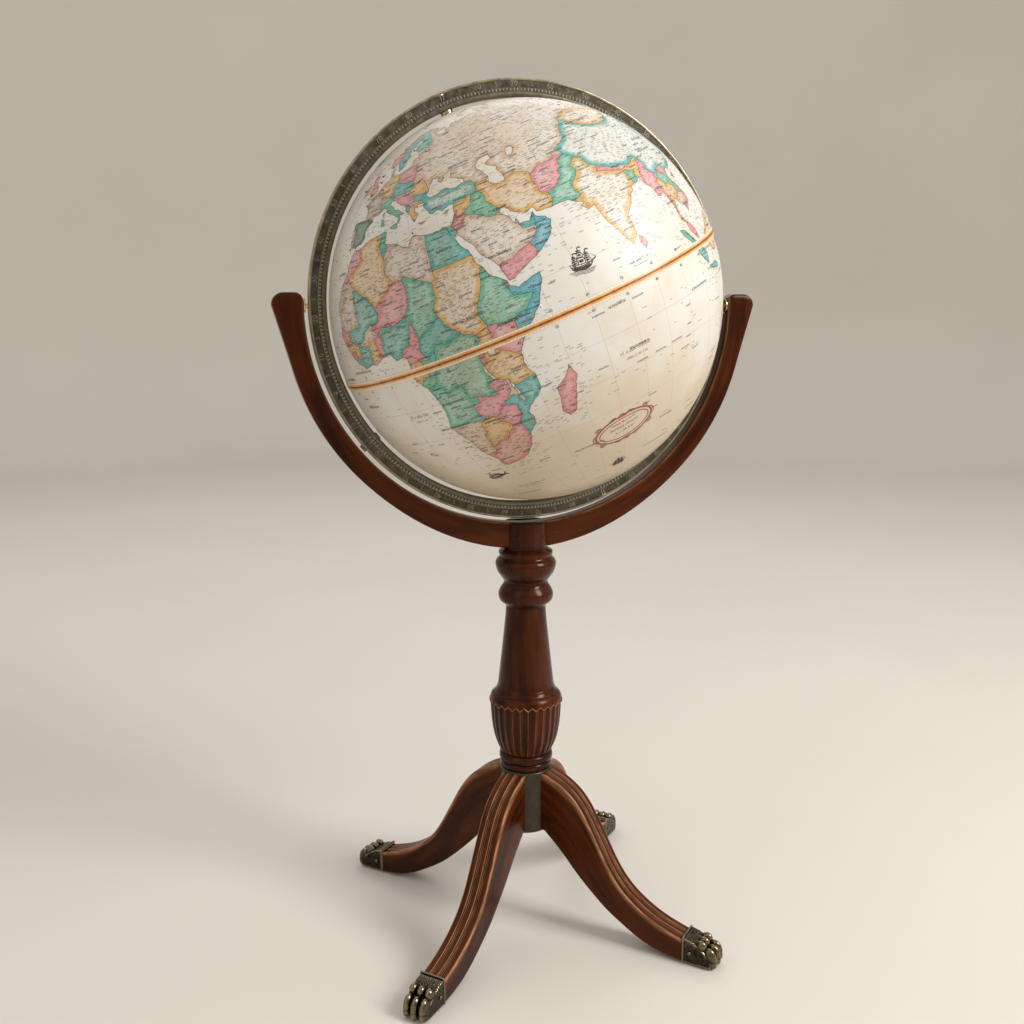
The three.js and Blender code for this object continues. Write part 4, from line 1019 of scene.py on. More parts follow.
def crests(mesh: bpy.types.Mesh, scale: float, softening: int = 2) -> np.ndarray:
    """Measures how proud each vertex stands of its neighbours.

    Args:
        mesh: the mesh.
        scale: length in metres over which a full crest stands.
        softening: rounds of averaging.

    Returns:
        Above 0 on ridges and below 0 in hollows.
    """
    co = points_of(mesh).astype(float)
    normals = np.array([v.normal for v in mesh.vertices], float).reshape(-1, 3)
    ends = np.zeros(len(mesh.edges) * 2, np.int32)
    mesh.edges.foreach_get("vertices", ends)
    a, b = ends.reshape(-1, 2).T
    span = co[b] - co[a]
    length = np.maximum((span**2).sum(1), 1e-14)
    bend = np.zeros(len(co))
    count = np.maximum(np.bincount(a, minlength=len(co)) + np.bincount(b, minlength=len(co)), 1)
    np.add.at(bend, a, -(span * normals[a]).sum(1) * 2 / length)
    np.add.at(bend, b, (span * normals[b]).sum(1) * 2 / length)
    bend /= count
    for _ in range(softening):
        total = np.bincount(a, bend[b], len(co)) + np.bincount(b, bend[a], len(co))
        bend = (bend + total / count) / 2
    return np.clip(bend * scale, -1, 1)


@dataclass
class Piece:
    """How one finished piece joins the part."""

    name: str
    body: Body
    slot: Slot
    finish: Finish
    nodes: Sequence[str] = ()
    place: Matrix = field(default_factory=lambda: Matrix.Identity(4))
    sharp: float = 38.0
    fibres: Spot | None = None
    # mask of worn edges, lightened with painted highlight lines
    wear: Spot | None = None
    # mask of painted shade in the hollows
    hollow: Spot | None = None
    crest: float = 0.0012

    def settle(self, made: bmesh.types.BMesh | bpy.types.Mesh) -> bpy.types.Object:
        """Makes the object, dresses it and hands it to its body.

        Args:
            made: the mesh, in its own making frame.

        Returns:
            The object, at the origin with its place in its mesh.
        """
        if isinstance(made, bpy.types.Mesh):
            mesh = made
        else:
            mesh = bpy.data.meshes.new(self.name)
            made.to_mesh(mesh)
            made.free()
        mesh.name = self.name
        at = points_of(mesh)
        for label, spot in (("grain", self.fibres), ("wear", self.wear), ("hollow", self.hollow)):
            if spot is not None:
                values = spot(at)
                write(mesh, label, "FLOAT_VECTOR" if values.ndim == 2 else "FLOAT", "POINT", values)
        mesh.transform(self.place)
        if self.place.determinant() < 0:
            mesh.flip_normals()
        mesh.shade_smooth()
        mesh.set_sharp_from_angle(angle=math.radians(self.sharp))
        if isinstance(self.finish, Metal):
            write(mesh, "crest", "FLOAT", "POINT", crests(mesh, self.crest))
        mesh.materials.clear()
        mesh.materials.append(self.finish.material())
        piece = bpy.data.objects.new(self.name, mesh)
        bpy.context.scene.collection.objects.link(piece)
        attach(piece, self.body.value)
        if self.nodes:
            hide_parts(*self.nodes)
        LOG.info("%s: %d faces", self.name, len(mesh.polygons))
        return piece


def fitting(node: str, body: Body, place: Matrix, made: bmesh.types.BMesh) -> None:
    """Settles one turned brass fitting.

    Args:
        node: the CAD node it stands for.
        body: the body it rides on.
        place: its place.
        made: its turned mesh.
    """
    Piece(f"{node}_turned", body, Slot.BRASS, BRIGHT_BRASS, [node], place).settle(made)


def upright(at: np.ndarray) -> np.ndarray:
    """Returns fibre coordinates for wood standing along Z."""
    return at[:, [2, 0, 1]]


def remeshed(bm: bmesh.types.BMesh, voxel: float, smooth: int = 2) -> bpy.types.Mesh:
    """Fuses overlapping forms into one skin.

    Args:
        bm: the forms.
        voxel: size of the new skin's cells, in metres.
        smooth: rounds of smoothing.

    Returns:
        The fused mesh.
    """
    rough = bpy.data.meshes.new("rough")
    bm.to_mesh(rough)
    bm.free()
    holder = bpy.data.objects.new("rough", rough)
    bpy.context.scene.collection.objects.link(holder)
    fuse = holder.modifiers.new("fuse", "REMESH")
    fuse.mode, fuse.voxel_size = "VOXEL", voxel
    ease = holder.modifiers.new("ease", "SMOOTH")
    ease.factor, ease.iterations = 0.5, smooth
    graph = bpy.context.evaluated_depsgraph_get()
    mesh = bpy.data.meshes.new_from_object(holder.evaluated_get(graph))
    bpy.data.objects.remove(holder)
    bpy.data.meshes.remove(rough)
    return mesh


# ------------------------------------------------------------------ stand
@dataclass
class Column:
    """The turned column on its hub: ringed foot, fluted urn, tapering shaft and moulded head."""

    bore: float = 5.4
    steps: int = 144
    flutes: int = 28
    flute_steps: int = 14
    flute_depth: float = 1.5
    flute_low: float = 200.0
    flute_high: float = 258.4
    tooth: float = 3.4
    fillet: float = 0.13
    hub: Sequence[Pair] = ((22.0, 107.0), (25.4, 107.5), (28.2, 109.6), (29.4, 112.6), (29.5, 115.5), (29.5, 178.6),
                           (28.9, 179.2))
    cap: Sequence[Pair] = ((15.6, 107.3), (17.0, 108.4), (17.2, 111.0))
    foot: Sequence[Pair] = ((25.2, 179.5), (26.4, 179.6), (28.1, 180.7), (28.7, 183.5), (28.1, 186.3), (27.0, 187.6),
                            (29.0, 188.6), (30.0, 191.9), (29.3, 195.4), (27.4, 197.3))
    urn: Sequence[Pair] = ((27.6, 197.6), (29.9, 201.0), (32.95, 207.3), (36.0, 217.0), (38.45, 231.0), (39.7, 246.0),
                           (40.0, 258.0), (39.7, 261.2), (38.4, 264.2), (36.4, 266.4))
    shaft: Sequence[Pair] = ((36.1, 266.7), (34.0, 268.9), (32.2, 272.6), (30.9, 278.0), (26.9, 312.8), (23.2, 347.3),
                             (22.0, 362.0), (21.8, 365.0))
    head: Sequence[Pair] = ((22.0, 365.3), (24.0, 367.5), (27.2, 370.0), (29.3, 373.0), (30.1, 377.5), (29.6, 381.0),
                            (27.5, 385.5), (24.8, 389.5), (24.1, 392.6), (25.0, 395.0), (28.0, 399.0), (31.2, 404.0),
                            (32.8, 409.0), (33.2, 413.0), (32.0, 416.5), (29.5, 419.5), (28.6, 421.5), (29.4, 423.6),
                            (29.4, 426.4), (26.0, 428.2), (23.9, 429.6), (23.3, 432.0), (23.3, 456.4), (22.8, 458.0),
                            (21.6, 459.1), (19.6, 459.5))
    slot_floor: float = 429.7
    slot_half: float = 9.8

    def turned(self, name: str, profile: Sequence[Pair], finish: Finish, slot: Slot, bore: float) -> None:
        """Turns one plain member.

        Args:
            name: the CAD node it stands for.
            profile: its outline in mm.
            finish: its finish.
            slot: its record slot.
            bore: the hole down its middle, in mm.
        """
        bm = spun(scaled(spline(profile, 0.7)), self.steps, bore * MM)
        # painted shade in the necks of the wooden members
        soot = self.soot_of(profile) if isinstance(finish, Wood) else None
        piece = Piece(f"{name}_turned", Body.STAND, slot, finish, [name], fibres=upright, sharp=50, hollow=soot)
        piece.settle(bm)

    def soot_of(self, profile: Sequence[Pair]) -> Spot:
        """Finds the painted shade laid in the necks of a profile.

        Args:
            profile: the member's outline in mm.

        Returns:
            A measure of the darkening at any place on it.
        """
        dense = np.array(spline(profile, 0.7))
        radius = dense[:, 0]
        window = 11
        padded = np.pad(radius, window, mode="edge")
        mean = np.convolve(padded, np.ones(2 * window + 1) / (2 * window + 1), "valid")
        neck = np.clip((mean - radius) / 2.2, 0, 1)
        order = np.argsort(dense[:, 1])

        def soot(at: np.ndarray) -> np.ndarray:
            """Returns the darkening at each place."""
            return np.interp(at[:, 2] / MM, dense[order, 1], neck[order])

        return soot

    def fluted_urn(self) -> None:
        """Turns the urn, then cuts flutes with toothed tops into it."""
        dense = spline(self.urn, 1.6)
        crown = [h for _, h in dense if h > self.flute_high + 1.2]
        rows = [(float(np.interp(h, [p[1] for p in dense], [p[0] for p in dense])), h)
                for h in [*(p[1] for p in dense if p[1] < self.flute_high - self.tooth - 1),
                          *np.arange(self.flute_high - self.tooth - 1, self.flute_high + 1.2, 0.28), *crown]]
        bm = spun(scaled(rows), self.flutes * self.flute_steps, self.bore * MM)
        for vert in bm.verts:
            x, y, z = vert.co / MM
            radius = math.hypot(x, y)
            if radius < self.bore + 1:
                continue
            share = (math.atan2(y, x) / TURN * self.flutes) % 1.0
            tooth = abs(share - 0.5) * 2
            top = self.flute_high - self.tooth * tooth
            fillet = self.fillet
            hollow = max(0.0, math.sin(math.pi * (share - fillet / 2) / (1 - fillet))) if share > fillet / 2 else 0.0
            depth = self.flute_depth * hollow**0.55 if share < 1 - fillet / 2 else 0.0
            cut = min(max((top - z) / 0.45, 0), 1) * min(max((z - self.flute_low) / 1.5, 0), 1)
            lip = 0.85 * math.exp(-(((z - top - 0.35) / 0.55) ** 2)) if z > self.flute_low + 20 else 0.0
            scale = (radius - max(depth, 0.55 if cut else 0) * cut + lip) / radius
            vert.co.x, vert.co.y = vert.co.x * scale, vert.co.y * scale
        bmesh.ops.recalc_face_normals(bm, faces=bm.faces)

        def teeth(at: np.ndarray) -> tuple[np.ndarray, np.ndarray]:
            """Returns 0 in a flute's middle to 1 on a rib, and the height above the toothed edge in mm."""
            tooth = np.abs((np.arctan2(at[:, 1], at[:, 0]) / TURN * self.flutes) % 1.0 - 0.5) * 2
            return tooth, at[:, 2] / MM - (self.flute_high - self.tooth * tooth)

        def ridge(at: np.ndarray) -> np.ndarray:
            """Returns the wear and painted highlight on the ribs and along the toothed edge."""
            tooth, over = teeth(at)
            return np.maximum((tooth > 0.88) * (over < 0) * 0.3, np.exp(-(((over - 0.2) / 0.6) ** 2)))

        def depth_of(at: np.ndarray) -> np.ndarray:
            """Returns the painted shade in the flutes."""
            tooth, over = teeth(at)
            return np.clip(1 - tooth * 1.2, 0, 1) * (over < 0) * 0.7

        piece = Piece("urn_fluted", Body.STAND, Slot.MAHOGANY, MAHOGANY, ["urn"], fibres=upright, wear=ridge,
                      hollow=depth_of, sharp=32)
        piece.settle(bm)

    def slotted_head(self) -> None:
        """Turns the head and saws the slot that takes the yoke."""
        bm = spun(scaled(spline(self.head, 0.7)), self.steps)
        for side in (-1, 1):
            for middle, normal in (((0, side * self.slot_half * MM, 0), (0, 1, 0)),
                                   ((0, 0, self.slot_floor * MM), (0, 0, 1))):
                geom = bm.verts[:] + bm.edges[:] + bm.faces[:]
                bmesh.ops.bisect_plane(bm, geom=geom, plane_co=middle, plane_no=normal, dist=1e-7)
        inside = [f for f in bm.faces if abs(f.calc_center_median().y) < self.slot_half * MM
                  and f.calc_center_median().z > self.slot_floor * MM]
        bmesh.ops.delete(bm, geom=inside, context="FACES")
        rims = [e for e in bm.edges if e.is_boundary]
        for edge in rims:
            edge.smooth = False
        floor_z = self.slot_floor * MM
        walls = []
        for side in (-1, 1):
            loop = [e for e in rims if e.is_valid and all(v.co.y * side > 0 for v in e.verts)
                    and all(v.co.z >= floor_z - 1e-6 for v in e.verts)]
            walls.append(loop)
        for loop in walls:
            low = sorted({v for e in loop for v in e.verts if v.co.z < floor_z + 1e-5}, key=lambda v: v.co.x)
            if len(low) > 1:
                loop.append(bm.edges.get((low[0], low[-1])) or bm.edges.new((low[0], low[-1])))
            bmesh.ops.holes_fill(bm, edges=loop, sides=0)
        bmesh.ops.holes_fill(bm, edges=[e for e in bm.edges if e.is_boundary], sides=0)
        bmesh.ops.triangulate(bm, faces=[f for f in bm.faces if len(f.verts) > 4])
        bmesh.ops.recalc_face_normals(bm, faces=bm.faces)
        piece = Piece("column_head_turned", Body.STAND, Slot.MAHOGANY, DEEP_MAHOGANY, ["column_head"], fibres=upright,
                      hollow=self.soot_of(self.head), sharp=50)
        piece.settle(bm)

    def build(self) -> None:
        """Makes every turned member from the hub up."""
        self.turned("hub", self.hub, OLIVE_IRON, Slot.OLIVE_IRON, 17.5)
        self.turned("hub_cap", self.cap, OLIVE_IRON, Slot.OLIVE_IRON, 0.0)
        self.turned("foot_ring", self.foot, DEEP_MAHOGANY, Slot.MAHOGANY, self.bore)
        self.fluted_urn()
        self.turned("shaft", self.shaft, DEEP_MAHOGANY, Slot.MAHOGANY, self.bore)
        self.slotted_head()


@dataclass
class Legs:
    """Four sabre legs with reeded tops and cast paw caps."""

    names: Sequence[str] = ("back_right", "back_left", "front_left", "front_right")
    half: float = 13.5
    arris: float = 1.5
    groove: float = 4.5
    quirk: float = 0.55
    spread: float = 0.95
    depth: float = 1.1
    crown: float = 0.55
    hub: float = 29.8
    end: float = 194.0
    top: Sequence[Pair] = ((29.8, 177.8), (37.5, 175.9), (50.0, 169.2), (62.0, 161.4), (74.5, 148.0), (86.8, 126.6),
                           (99.0, 104.0), (111.2, 81.2), (123.3, 64.8), (135.3, 54.0), (147.2, 46.0), (159.0, 39.0),
                           (170.5, 34.2), (182.0, 30.4), (194.0, 27.2))
    under: Sequence[Pair] = ((29.8, 111.6), (38.0, 103.5), (50.5, 92.8), (63.0, 78.1), (75.3, 64.8), (87.6, 53.6),
                             (99.8, 42.2), (112.0, 33.0), (124.0, 25.8), (135.8, 18.6), (147.6, 12.1), (159.2, 8.0),
                             (170.7, 4.8), (182.0, 3.2), (194.0, 2.6))
    stations: int = 96
    softening: int = 45

    def reed(self, y: float) -> float:
        """Works out how far the reeded top sinks.

        Args:
            y: place across the leg in mm.

        Returns:
            The depth below the top line in mm.
        """
        inset = max(0.0, abs(y) - (self.half - self.arris))
        edge = self.arris - math.sqrt(max(self.arris**2 - inset**2, 0.0))
        near, far = self.groove - self.spread, self.groove + self.spread
        quirks = sum(math.exp(-(((abs(y) - c) / self.quirk) ** 2)) for c in (near, far))
        if abs(y) < near:
            belly = 1 - (y / near) ** 2
        elif abs(y) > far:
            middle = (self.half + self.groove + self.spread) / 2
            belly = 1 - ((abs(y) - middle) / (self.half - middle)) ** 2
        else:
            belly = 0.4 - 0.4 * ((abs(y) - self.groove) / self.spread) ** 2
        return edge + self.depth * min(quirks, 1.0) + self.crown * (1 - belly)

    def section(self, upper: Vector, lower: Vector, lean: Vector) -> list[Vector]:
        """Returns one closed ring of the leg.

        Args:
            upper: the top line's point, as X and Z.
            lower: the under line's point.
            lean: the top line's outward normal.

        Returns:
            Points in metres.
        """
        ring: list[Vector] = []
        across = np.linspace(-self.half, self.half, 85)
        for y in across:
            spot = upper - lean * self.reed(float(y))
            ring.append(Vector((spot.x, float(y), spot.y)))
        for k in range(1, 12):
            spot = upper.lerp(lower, 0.06 + 0.88 * k / 12)
            ring.append(Vector((spot.x, self.half, spot.y)))
        turn = np.linspace(0, math.pi / 2, 5)
        for a in turn:
            y = self.half - self.arris * (1 - math.cos(a))
            ring.append(Vector((lower.x, y, lower.y + self.arris * (1 - math.sin(a)))))
        for a in turn[::-1]:
            y = -self.half + self.arris * (1 - math.cos(a))
            ring.append(Vector((lower.x, y, lower.y + self.arris * (1 - math.sin(a)))))
        for k in range(11, 0, -1):
            spot = upper.lerp(lower, 0.06 + 0.88 * k / 12)
            ring.append(Vector((spot.x, -self.half, spot.y)))
        return ring

    def lines(self) -> tuple[np.ndarray, np.ndarray]:
        """Returns the smoothed top and under lines, station by station, in mm."""
        steps = np.linspace(0, 1, self.stations)
        made = []
        for points in (self.top, self.under):
            dense = np.array(spline(points, 0.8))
            run = np.r_[0, np.cumsum(np.hypot(*np.diff(dense, axis=0).T))]
            line = np.c_[np.interp(steps * run[-1], run, dense[:, 0]), np.interp(steps * run[-1], run, dense[:, 1])]
            for _ in range(self.softening):
                line[1:-1] = (line[:-2] + 2 * line[1:-1] + line[2:]) / 4
            made.append(line)
        return made[0], made[1]

    def leg(self) -> bmesh.types.BMesh:
        """Returns one leg, pointing along +X."""
        upper, lower = self.lines()
        slope = np.gradient(upper, axis=0)
        rows = []
        for high, low, (dx, dz) in zip(upper, lower, slope):
            rows.append(self.section(Vector(high), Vector(low), Vector((-dz, dx)).normalized()))
        for spot in rows[0]:
            spot.x = math.sqrt(self.hub**2 - spot.y**2)
        bm = woven([[p * MM for p in row] for row in rows])
        bmesh.ops.triangulate(bm, faces=[f for f in bm.faces if len(f.verts) > 4])
        return bm

    def fibres(self, at: np.ndarray) -> np.ndarray:
        """Finds coordinates that follow the leg's sweep.

        Args:
            at: places on the leg, in metres.

        Returns:
            Distance along, across and above the leg's middle line.
        """
        upper, lower = self.lines()
        middle = (upper + lower) / 2 * MM
        way = np.gradient(middle, axis=0)
        step = np.hypot(*way.T)
        way /= step[:, None]
        flat = at[:, [0, 2]]
        near = ((flat[:, None] - middle[None]) ** 2).sum(2).argmin(1)
        off = flat - middle[near]
        along = np.cumsum(step)[near] + (off * way[near]).sum(1)
        return np.c_[along, at[:, 1], off[:, 0] * way[near, 1] - off[:, 1] * way[near, 0]]

    def from_top(self, at: np.ndarray) -> np.ndarray:
        """Measures from the top line.

        Args:
            at: places on the leg, in metres.

        Returns:
            Each place's distance in mm.
        """
        upper, _ = self.lines()
        flat = at[:, [0, 2]] / MM
        return np.sqrt(((flat[:, None] - upper[None]) ** 2).sum(2).min(1))

    def rubbed(self, at: np.ndarray) -> np.ndarray:
        """Finds the wear and painted highlight lines on the reeds' crests and the arrises.

        Args:
            at: places on the leg, in metres.

        Returns:
            0 for none to 1 for most.
        """
        across = np.abs(at[:, 1]) / MM
        near_top = np.clip((4.2 - self.from_top(at)) / 1.2, 0, 1)
        lips = sum(np.exp(-(((across - c) / 0.36) ** 2))
                   for c in (self.groove - self.spread - 0.95, self.groove, self.groove + self.spread + 0.95))
        edge = np.exp(-(((across - self.half + 0.5) / 0.8) ** 2))
        return near_top * np.clip(lips + edge, 0, 1)

    def sooted(self, at: np.ndarray) -> np.ndarray:
        """Finds the painted shade in the quirks between the reeds.

        Args:
            at: places on the leg, in metres.

        Returns:
            0 for no shade, more for darker.
        """
        across = np.abs(at[:, 1]) / MM
        near_top = np.clip((4.2 - self.from_top(at)) / 1.2, 0, 1)
        quirks = (self.groove - self.spread, self.groove + self.spread)
        return near_top * sum(np.exp(-(((across - c) / 0.5) ** 2)) for c in quirks)

    def build(self) -> None:
        """Makes the legs, paws, nails and pads of all four corners."""
        for i, name in enumerate(self.names):
            place = Matrix.Rotation(TURN / 8 + i * TURN / 4, 4, "Z")
            leg = Piece(f"leg_reeded_{name}", Body.STAND, Slot.MAHOGANY, MAHOGANY, [f"leg_{name}"], place,
                        fibres=self.fibres, wear=self.rubbed, hollow=self.sooted, sharp=75)
            leg.settle(self.leg())
            Paw(name, place).build()


@dataclass
class Paw:
    """A cast animal-paw cap: bead collar, hairy top, and three toes of two knuckles and a claw."""

    name: str
    place: Matrix
    half: float = 14.2
    toes: Sequence[float] = (-9.3, 0.0, 9.3)
    voxel: float = 0.5
    side: Sequence[Pair] = ((194.4, 2.2), (226.5, 2.2), (227.5, 8.0), (224.0, 14.0), (218.0, 19.5), (211.5, 24.2),
                            (205.0, 27.2), (199.4, 28.6), (194.4, 29.0))

    def ball(self, centre: Sequence[float], radii: Sequence[float], lean: float = 0.0) -> bmesh.types.BMesh:
        """Makes an egg shape.

        Args:
            centre: its middle in mm.
            radii: its three half sizes.
            lean: its turn about Y in degrees.

        Returns:
            The shape.
        """
        bm = bmesh.new()
        bmesh.ops.create_uvsphere(bm, u_segments=24, v_segments=14, radius=1)
        bmesh.ops.scale(bm, vec=radii, verts=bm.verts)
        bmesh.ops.rotate(bm, matrix=Matrix.Rotation(math.radians(lean), 3, "Y"), verts=bm.verts)
        bmesh.ops.translate(bm, vec=centre, verts=bm.verts)
        return bm

    def body(self) -> bmesh.types.BMesh:
        """Returns the cap's plain block, in mm."""
        bm = bmesh.new()
        face = bm.faces.new([bm.verts.new((x, -self.half + 0.4, z)) for x, z in self.side])
        pushed = bmesh.ops.extrude_face_region(bm, geom=[face])["geom"]
        bmesh.ops.translate(bm, vec=(0, 2 * self.half - 0.8, 0), verts=[v for v in pushed
                                                                       if isinstance(v, bmesh.types.BMVert)])
        bmesh.ops.recalc_face_normals(bm, faces=bm.faces)
        bmesh.ops.bevel(bm, geom=bm.edges[:], offset=0.7, segments=2, profile=0.5, affect="EDGES", material=-1)
        return bm

    def build(self) -> None:
        """Makes the cap, its collar bead, its side nails and its felt pad."""
        forms = [self.body()]
        for y in self.toes:
            reach = 1.0 if y == 0 else 0.0
            forms += [
                self.ball((214.9, y, 23.3), (6.0, 4.45, 6.2), 30),
                self.ball((220.6, y, 17.6), (4.4, 2.6, 4.4), 40),
                self.ball((225.0 + reach, y, 13.2), (7.0, 4.5, 10.2), -14),
                self.ball((225.6 + reach, y, 7.4), (6.9, 4.45, 7.2), 0),
            ]
        fused = joined(*forms)
        bmesh.ops.scale(fused, vec=(MM, MM, MM), verts=fused.verts)
        mesh = remeshed(fused, self.voxel * MM, 2)
        self.chase(mesh)
        cap = Piece(f"paw_cast_{self.name}", Body.STAND, Slot.PAW_BRONZE, PAW_BRASS, [f"paw_{self.name}"], self.place,
                    sharp=80, crest=0.0022)
        cap.settle(mesh)
        self.collar()
        for side, label in ((-1, "a"), (1, "b")):
            self.nail(side, label)
        pad = Piece(f"pad_{self.name}", Body.STAND, Slot.FELT, FELT, [f"glide_{self.name}"], self.place)
        pad.settle(block((24 * MM, 20 * MM, 1.7 * MM), (211 * MM, 0, 0.85 * MM), 0.3 * MM))

    def chase(self, mesh: bpy.types.Mesh) -> None:
        """Cuts the dark lines between the toes and chases hair and pits into the top.

        Args:
            mesh: the fused cap, changed in place.
        """
        at = points_of(mesh) / MM
        gaps = np.exp(-(((np.abs(at[:, 1]) - 4.65) / 0.75) ** 2))
        front = np.clip((at[:, 0] - 206) / 8, 0, 1) * (at[:, 2] > 2.6)
        hair = np.array([noise.noise((p[0] * 0.28, p[1] * 1.5, p[2] * 0.28)) for p in at])
        pits = np.array([noise.noise((p[0] * 0.8 + 40, p[1] * 0.8, p[2] * 0.8)) for p in at])
        top = np.clip((at[:, 2] - 19) / 5, 0, 1) * np.clip((216 - at[:, 0]) / 8, 0, 1) * np.clip(
            (at[:, 0] - 195.5) / 1.5, 0, 1)
        normals = np.array([v.normal for v in mesh.vertices])
        sink = gaps * front * 1.5 + top * (np.abs(hair) * -0.35 + 0.2 + np.clip(-pits - 0.3, 0, 1) * 1.1)
        at = (at - normals * sink[:, None]) * MM
        at[:, 2] = np.maximum(at[:, 2], 2.0 * MM)
        mesh.vertices.foreach_set("co", at.astype(np.float32).ravel())
        mesh.update()

    def collar(self) -> None:
        """Adds the bead where the cap meets the wood."""
        half, low, high = self.half - 0.2, 2.6, 30.0
        corner = 1.0
        ring = [(-half, low), (-half, high - corner), (-half + corner, high), (half - corner, high),
                (half, high - corner), (half, low)]
        rows = []
        for y, z in spline(ring, 1.2, 80):
            out = Vector((0, y / half if abs(y) > half - 1.2 else 0, 1 if z > high - 1.2 else 0))
            out = out.normalized() if out.length else Vector((0, math.copysign(1, y), 0))
            centre = Vector((196.0, y, z)) - out * 0.2
            rows.append([centre + Vector((0.95 * math.cos(a), 0, 0)) + out * 0.95 * math.sin(a)
                         for a in np.linspace(0, TURN, 12, endpoint=False)])
        bm = woven([[p * MM for p in row] for row in rows])
        bead = Piece(f"collar_{self.name}", Body.STAND, Slot.PAW_BRONZE, RING_BRONZE, (), self.place, sharp=60)
        bead.settle(bm)

    def nail(self, side: int, label: str) -> None:
        """Adds one domed nail in a side of the cap.

        Args:
            side: -1 or 1.
            label: the side's letter.
        """
        face = 14.5
        outline = [(1.1, face - 7), (1.1, face), (2.0, face), (1.9, face + 0.3), (1.5, face + 0.65), (0.8, face + 0.86),
                   (0.05, face + 0.9)]
        bm = spun(scaled(outline), 20)
        turn = Matrix.Translation((203 * MM, 0, 14 * MM)) @ Matrix.Rotation(-side * TURN / 4, 4, "X")
        piece = Piece(f"nail_{self.name}_{label}", Body.STAND, Slot.BRASS, PAW_BRASS, [f"cap_nail_{self.name}_{label}"],
                      self.place @ turn, crest=0.0006)
        piece.settle(bm)


@dataclass
class Yoke:
    """The sawn half-hoop that carries the ring, with its pivots."""

    inner: float = 229.5
    arm: float = 250.5
    foot: float = 258.0
    tip_top: float = 12.5
    tip_outer: float = 260.5
    half: float = 9.5
    edge: float = 2.7
    steps: int = 132

    def pairs(self) -> list[tuple[Vector, Vector]]:
        """Returns matching inner and outer points from tip to tip, in mm about the ball's centre."""
        arms = []
        quarter = TURN / 4
        for i in range(-self.steps, self.steps + 1):
            angle = -quarter + i * quarter / self.steps
            share = min(abs(i / self.steps), 0.5) * 2
            lift = math.cos(share * quarter) ** 2
            radius = self.arm + (self.foot - self.arm) * lift
            flare = max(0.0, 1 - (self.steps - abs(i)) / (self.steps * 0.17)) ** 2
            reach = radius + (self.tip_outer - self.arm) * flare
            way = Vector((math.cos(angle), math.sin(angle)))
            arms.append((way * self.inner, way * reach))
        ends = []
        for k in range(1, 15):
            t = k / 14
            ends.append((Vector((self.inner + 4.6 * t**3, self.tip_top * t)),
                         Vector((self.tip_outer - 7.5 * t**2.4, self.tip_top * t))))
        left = [(Vector((-a.x, a.y)), Vector((-b.x, b.y))) for a, b in ends]
        return [*reversed(left), *arms, *ends]

    def ring(self, inner: Vector, outer: Vector, shrink: float) -> list[Vector]:
        """Makes one rounded section of the hoop.

        Args:
            inner: its inner point.
            outer: its outer point.
            shrink: how far it is drawn in, at the tips.

        Returns:
            Its points in mm, once round.
        """
        middle, reach = (inner + outer) / 2, (outer - inner) / 2
        width = reach.length - shrink * 0.6
        way = reach.normalized()
        thick = self.half - shrink
        made = []
        radius = min(self.edge, thick * 0.9)
        for cx, cy, start, across in ((1, 1, 0, True), (-1, 1, 90, False), (-1, -1, 180, True), (1, -1, 270, False)):
            for k in range(7):
                a = math.radians(start + 90 * k / 6)
                u = cx * (width - radius) + radius * math.cos(a)
                v = cy * (thick - radius) + radius * math.sin(a)
                made.append(Vector((middle.x + way.x * u, v, middle.y + way.y * u)))
            for f in (0.25, 0.5, 0.75):
                if across:
                    u, v = cx * (width - radius) * (1 - 2 * f), cy * thick
                else:
                    u, v = cx * width, cy * (thick - radius) * (1 - 2 * f)
                made.append(Vector((middle.x + way.x * u, v, middle.y + way.y * u)))
        return made

    def build(self) -> None:
        """Makes the hoop, the pivots and their bushes."""
        pairs = self.pairs()
        rows = []
        last = len(pairs) - 1
        for i, (inner, outer) in enumerate(pairs):
            depth = min(i, last - i)
            near = max(0.0, 1 - depth / 7)
            shrink = self.edge * (1 - math.sqrt(max(0.0, 1 - near**2)))
            rows.append([p * MM for p in self.ring(inner, outer, shrink)])
        bm = woven(rows)
        bmesh.ops.triangulate(bm, faces=[f for f in bm.faces if len(f.verts) > 4])

        def bent(at: np.ndarray) -> np.ndarray:
            """Returns fibre coordinates that follow the bent wood."""
            radius = np.hypot(at[:, 0], at[:, 2])
            turn = np.arctan2(at[:, 0], -at[:, 2])
            return np.c_[turn * 0.24, radius, at[:, 1]]

        def arris(at: np.ndarray) -> np.ndarray:
            """Returns the wear and painted highlight along the inner edges."""
            radius = np.hypot(at[:, 0], at[:, 2]) / MM
            side = np.abs(at[:, 1]) / MM
            low = np.exp(-(((radius - self.inner - 1.2) / 1.1) ** 2))
            return 0.55 * low * np.exp(-(((side - self.half + 1.2) / 1.1) ** 2))

        hoop = Piece("yoke_hoop", Body.STAND, Slot.MAHOGANY, MAHOGANY, ["yoke"], AT_CENTRE, fibres=bent, wear=arris,
                     sharp=60)
        hoop.settle(bm)
        for side, label in ((-1, "left"), (1, "right")):
            place = AT_CENTRE @ Matrix.Rotation(side * TURN / 4, 4, "Y")
            flange = self.inner - 0.3
            bush = [(6.6, flange - 1.6), (7.6, flange - 1.4), (8.0, flange - 0.9), (8.0, flange), (6.0, flange),
                    (6.0, flange + 13.3)]
            fitting(f"pivot_bush_{label}", Body.STAND, place, spun(scaled(bush), 48, 3.8 * MM))
            pin = [(3.0, 212.5), (3.5, 213.0), (3.5, 247.6), (3.1, 248.0)]
            fitting(f"pivot_pin_{label}", Body.STAND, place, spun(scaled(pin), 32))


# ------------------------------------------------------------------ ball
def outline(text: str) -> np.ndarray:
    """Returns an outline's rows of longitude and latitude in degrees."""
    return np.array(text.split(), float).reshape(-1, 2) / 10


